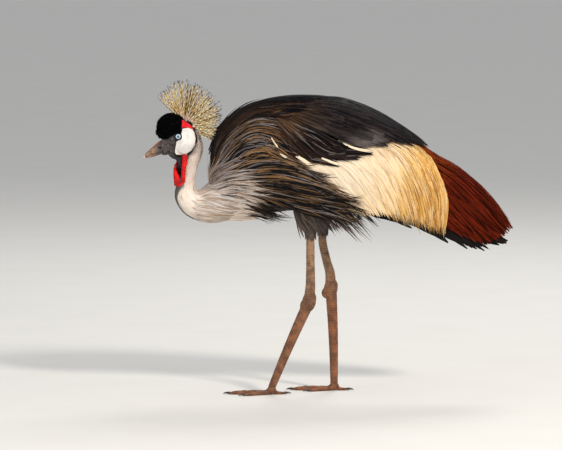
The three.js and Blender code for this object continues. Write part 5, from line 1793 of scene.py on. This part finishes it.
WATTLE_FOLDS = [
    [[-301.3, -1, 464, 0.9, 2], [-304.3, -1.5, 456, 2.0, 3.4], [-305.0, -2, 447, 3.0, 4.5], [-302.4, -3, 436, 5.8, 6],
     [-298.9, -4, 425, 8.6, 6.5], [-297.7, -4, 417, 8.6, 5]],
    [[-284.4, -11, 478, 5.6, 5], [-285.6, -14, 463, 4.7, 4.4], [-287.4, -14.5, 450, 4.5, 4.2],
     [-287.6, -14, 437, 3.5, 4], [-288, -12, 425, 4.2, 4], [-289.5, -9, 416, 4.6, 4]],
    [[-286, 10, 476, 5, 5], [-288, 12, 463, 4.6, 4.4], [-290, 12, 448, 5, 4.6], [-292, 11, 434, 5.5, 4.6],
     [-294, 8, 420, 5, 4.5]],
    [[-303.5, 3, 452, 2, 3], [-302.5, 5, 440, 4.4, 4.6], [-299, 6, 428, 6.5, 5], [-296, 4, 417, 6.5, 5]],
]


def make_wattle():
    shapes = [tube(stops, 20, 24) for stops in WATTLE_FOLDS]
    shapes += [ellipsoid((-288, 0, 474), (7, 12, 5)), ellipsoid((-294, -8, 418), (9, 6, 6))]
    wattle = fused("wattle_folds", shapes, 0.6, 4)
    p, n = get_points(wattle), get_normals(wattle)
    _, y, z = p.T
    ripple = 0.35 * np.sin(z * 0.9 + 3 * np.sin(y * 0.35)) + 0.25 * np.sin(y * 2.2 + z * 0.15)
    set_points(wattle, p + n * ripple[:, None])
    material, tree = new_material("wattle_skin", 0.5, Specular_IOR_Level=0.25, Subsurface_Weight=0.12,
                                  Subsurface_Scale=0.004)
    marks = marks_of(tree, SKIN_MARKS, {"Pore Fineness": 700.0})
    colour = marks["Blotch"].ramp(0, 1).over(WATTLE_RED, srgb(176, 8, 10))
    colour = marks["Pores"].ramp(0.6, 0.0, 0.0, 0.5).over(colour, srgb(130, 4, 8))
    dress(material, colour, marks["Wrinkles"].ramp(0.2, 0.8, 0.6, 0.4), marks["Height"], 0.6, 0.0006)
    finish_piece(wattle, "wattle_scarlet", "wattle", material=material)


# Bill

def horn_material(name, base, tip, along, dark):
    """Horn that changes from its base to its tip, with fine grain along it: the material with its place, its
    colour so far and its grain."""
    material, tree = new_material(name, 0.38, Specular_IOR_Level=0.5, Coat_Weight=0.15)
    place = object_place(tree)
    part = place.split()
    stretched = put(tree, "ShaderNodeMapping", {"Vector": place, "Rotation": (0, 0.45, 0), "Scale": (110, 380, 380)})
    grain = noise(tree, stretched, 1.0, 4.0)
    share = (part[0] + noise(tree, place, 130.0, 3.0) * 0.010).ramp(along[0] + 0.005, along[1] + 0.005)
    colour = grain.ramp(0.45, 0.6, 0.0, 0.8).over(share.over(tip, base), dark)
    return material, part, colour, grain


CULMEN = (0.86, 0.7926)  # slope and level, in metres, of the line of the bill's ridge
PALE_TIP = (-0.3635, -0.3665)


def make_bill():
    """Both halves of the bill. The upper one has the nostrils and hooks down in front of the lower one."""
    rings = snout_rings(BILL, 70, 40)
    upper, lower = rings.copy(), rings[rings[:, 0, 0] > MOUTH.tip].copy()
    past = rings[..., 0] < MOUTH.tip - 0.2
    upper[..., 2] = np.where(past, rings[..., 2], np.maximum(rings[..., 2], mouth_level(rings[..., 0]) + 0.3))
    lower[..., 2] = np.minimum(lower[..., 2], mouth_level(lower[..., 0]) - 0.3)
    x, y, z = upper[..., 0] - NOSTRIL.x, upper[..., 1], upper[..., 2] - NOSTRIL.z
    pit = np.hypot(x / NOSTRIL.long, (z + 0.15 * x) / NOSTRIL.high)
    on_flank = np.abs(y) > 3
    groove = ease(2.4, 0.6, np.abs(z - 0.45 * x)) * ease(-350, -340, upper[..., 0])
    upper[..., 1] -= np.sign(y) * (NOSTRIL.deep * (ease(1.25, 0.6, pit) * on_flank) + 0.35 * groove * on_flank)
    for node, shape in (("upper_bill", upper), ("lower_bill", lower)):
        obj = make_mesh(f"{node}_horn", *skin_rings(shape))
        obj.data.set_sharp_from_angle(angle=EDGE_CREASE)
        material, part, colour, grain = horn_material(
            f"{node}_horn_finish", srgb(74, 63, 60), srgb(156, 116, 80), (-0.352, -0.338), srgb(66, 50, 40))
        level = part[0].maths("MULTIPLY_ADD", MOUTH.slope, (MOUTH.z - MOUTH.slope * MOUTH.x) * MM)
        # Painted shade: a dark line along the slit between the two halves of the bill.
        colour = (abs(part[2] - level).ramp(0.0011, 0.0005) * 0.8).over(colour, srgb(44, 26, 20))
        if node == "upper_bill":
            ridge = part[2] - part[0].maths("MULTIPLY_ADD", *CULMEN)
            on_top = ridge.ramp(-0.0020, -0.0008) * part[0].ramp(-0.357, -0.350)
            dx = (part[0] - NOSTRIL.x * MM) / (NOSTRIL.long * MM)
            dz = (part[2] - NOSTRIL.z * MM) / (NOSTRIL.high * MM)
            colour = on_top.over(colour, srgb(134, 66, 34))
            # Painted shade: the sunken pit of the nostril is painted near black.
            colour = (dx * dx + dz * dz).maths("SQRT").ramp(1.1, 0.7).over(colour, srgb(14, 10, 12))
            colour = part[0].ramp(*PALE_TIP).over(colour, srgb(232, 200, 186))
        dress(material, colour, grain.ramp(0.3, 0.7, 0.34, 0.5), grain)
        finish_piece(obj, "bill_horn", node, material=material)


# Eyes

IRIS = 5.1
PUPIL = 2.0


def make_eyes():
    for side, name in SIDES:
        centre = np.array([EYE.x, side * EYE.y, EYE.z])
        points, faces = ellipsoid((0, 0, 0), (EYE.radius,) * 3, 0, 64, 40)
        points = points[:, [0, 2, 1]] * np.array([1, side, 1])
        out = np.hypot(points[:, 0], points[:, 2])
        points[:, 1] += side * 0.9 * ease(5.4, 1.0, out) * (points[:, 1] * side > 0)
        obj = make_mesh(f"eyeball_{name}", points + centre, outward(points, faces))
        material, tree = new_material(f"eye_{name}_glass", 0.15, Specular_IOR_Level=0.4, Coat_Weight=0.35,
                                      Coat_Roughness=0.03)
        place = put(tree, "ShaderNodeMapping", {"Vector": object_place(tree), "Location": tuple(-centre * MM)})
        x, _, z = place.split()
        far = (x * x + z * z).maths("SQRT")
        iris = noise(tree, place, 700.0, 4.0).ramp(0.35, 0.7).over(srgb(176, 200, 222), srgb(226, 236, 246))
        for edge, low, high, share, colour in ((PUPIL, 2.0, 1.1, 0.6, srgb(120, 150, 186)),
                                               (PUPIL, 1.12, 0.98, 1.0, srgb(4, 4, 6)),
                                               (IRIS, 0.93, 1.02, 1.0, srgb(10, 9, 12))):
            iris = far.ramp(edge * MM * low, edge * MM * high, 0.0, share).over(iris, colour)
        finish_piece(obj, "eye_iris", f"eye_{name}", material=dress(material, iris))


# Claws

def make_claws():
    dark = srgb(46, 38, 36)
    material, _, colour, grain = horn_material("claw_horn_finish", dark, dark, (-0.3, 0.3), srgb(20, 15, 14))
    dress(material, colour, grain.ramp(0.3, 0.7, 0.36, 0.55), grain)
    for leg in LEGS:
        for toe in TOES:
            start = toe.length - 1.0
            stops = []
            for t in np.linspace(0, 1, 8):
                z = CLAW_HEIGHT + 0.9 * math.sin(t * 2.4) - 1.8 * t ** 3
                r = 2.35 * (1 - t) ** 0.7 + 0.35
                stops.append([*toe_point(leg, toe, start + (CLAW_LENGTH + 1.0) * t, z), r * 1.05, r * 0.8])
            obj = make_mesh(f"{toe.name}_claw_{leg.name}", *tube(stops, 14, 20))
            finish_piece(obj, "claw_horn", f"claw_{toe.name}_{leg.name}", material=material)


# Camera, light and floor

def aim(obj, target):
    way = Vector(target) - obj.location
    obj.rotation_euler = way.to_track_quat("-Z", "Y").to_euler()


def make_camera():
    """A long lens 9 m from the bird's side and a little above it."""
    target, distance, rise = (-0.093, 0.0, 0.337), 9.0, math.radians(4.5)
    camera = new_object("camera", bpy.data.cameras.new("camera"))
    camera.location = (target[0], -distance * math.cos(rise), target[2] + distance * math.sin(rise))
    aim(camera, target)
    camera.data.lens, camera.data.sensor_width, camera.data.clip_end = 288, 36, 200
    bpy.context.scene.camera = camera


def make_lamp(name, place, size, power, colour):
    data = bpy.data.lights.new(name, "AREA")
    data.shape, data.size, data.energy, data.color = "DISK", size, power, colour
    lamp = new_object(name, data)
    lamp.location = place
    aim(lamp, (0, 0, 0.4))


def make_studio():
    """A wide pale floor, a large key lamp high on the right and two weaker lamps."""
    far = 90_000.0
    floor = make_mesh("floor", np.array([[-far, -far, 0], [far, -far, 0], [far, far, 0], [-far, far, 0]]),
                      [np.array([[0, 1, 2, 3]])])
    material, tree = new_material("floor_paper", 0.85)
    grain = noise(tree, object_place(tree), 6.0, 5.0)
    floor.data.materials.append(dress(material, grain.ramp(0.2, 0.8).over(srgb(220, 218, 213), srgb(223, 221, 217))))
    make_lamp("key_lamp", (2.4, -3.6, 3.4), 0.9, 220, (1.0, 0.94, 0.85))
    make_lamp("fill_lamp", (-3.6, -3.4, 1.6), 2.6, 52, (0.9, 0.95, 1.0))
    make_lamp("back_lamp", (0.8, 3.0, 3.4), 1.6, 60, (1.0, 0.98, 0.95))
    world = bpy.context.scene.world = bpy.data.worlds.new("studio")
    world.use_nodes = True
    sky = world.node_tree.nodes["Background"].inputs
    sky[0].default_value, sky[1].default_value = (0.9, 0.92, 0.95, 1), 0.58
    bpy.context.scene.view_settings.view_transform = "Standard"


make_camera()
make_studio()
scalp, chest = whole_skin()
make_wings()
make_neck(chest)
make_underparts()
make_tail()
make_cap(scalp)
make_face(scalp)
make_crest()
make_wattle()
make_bill()
make_eyes()
make_claws()
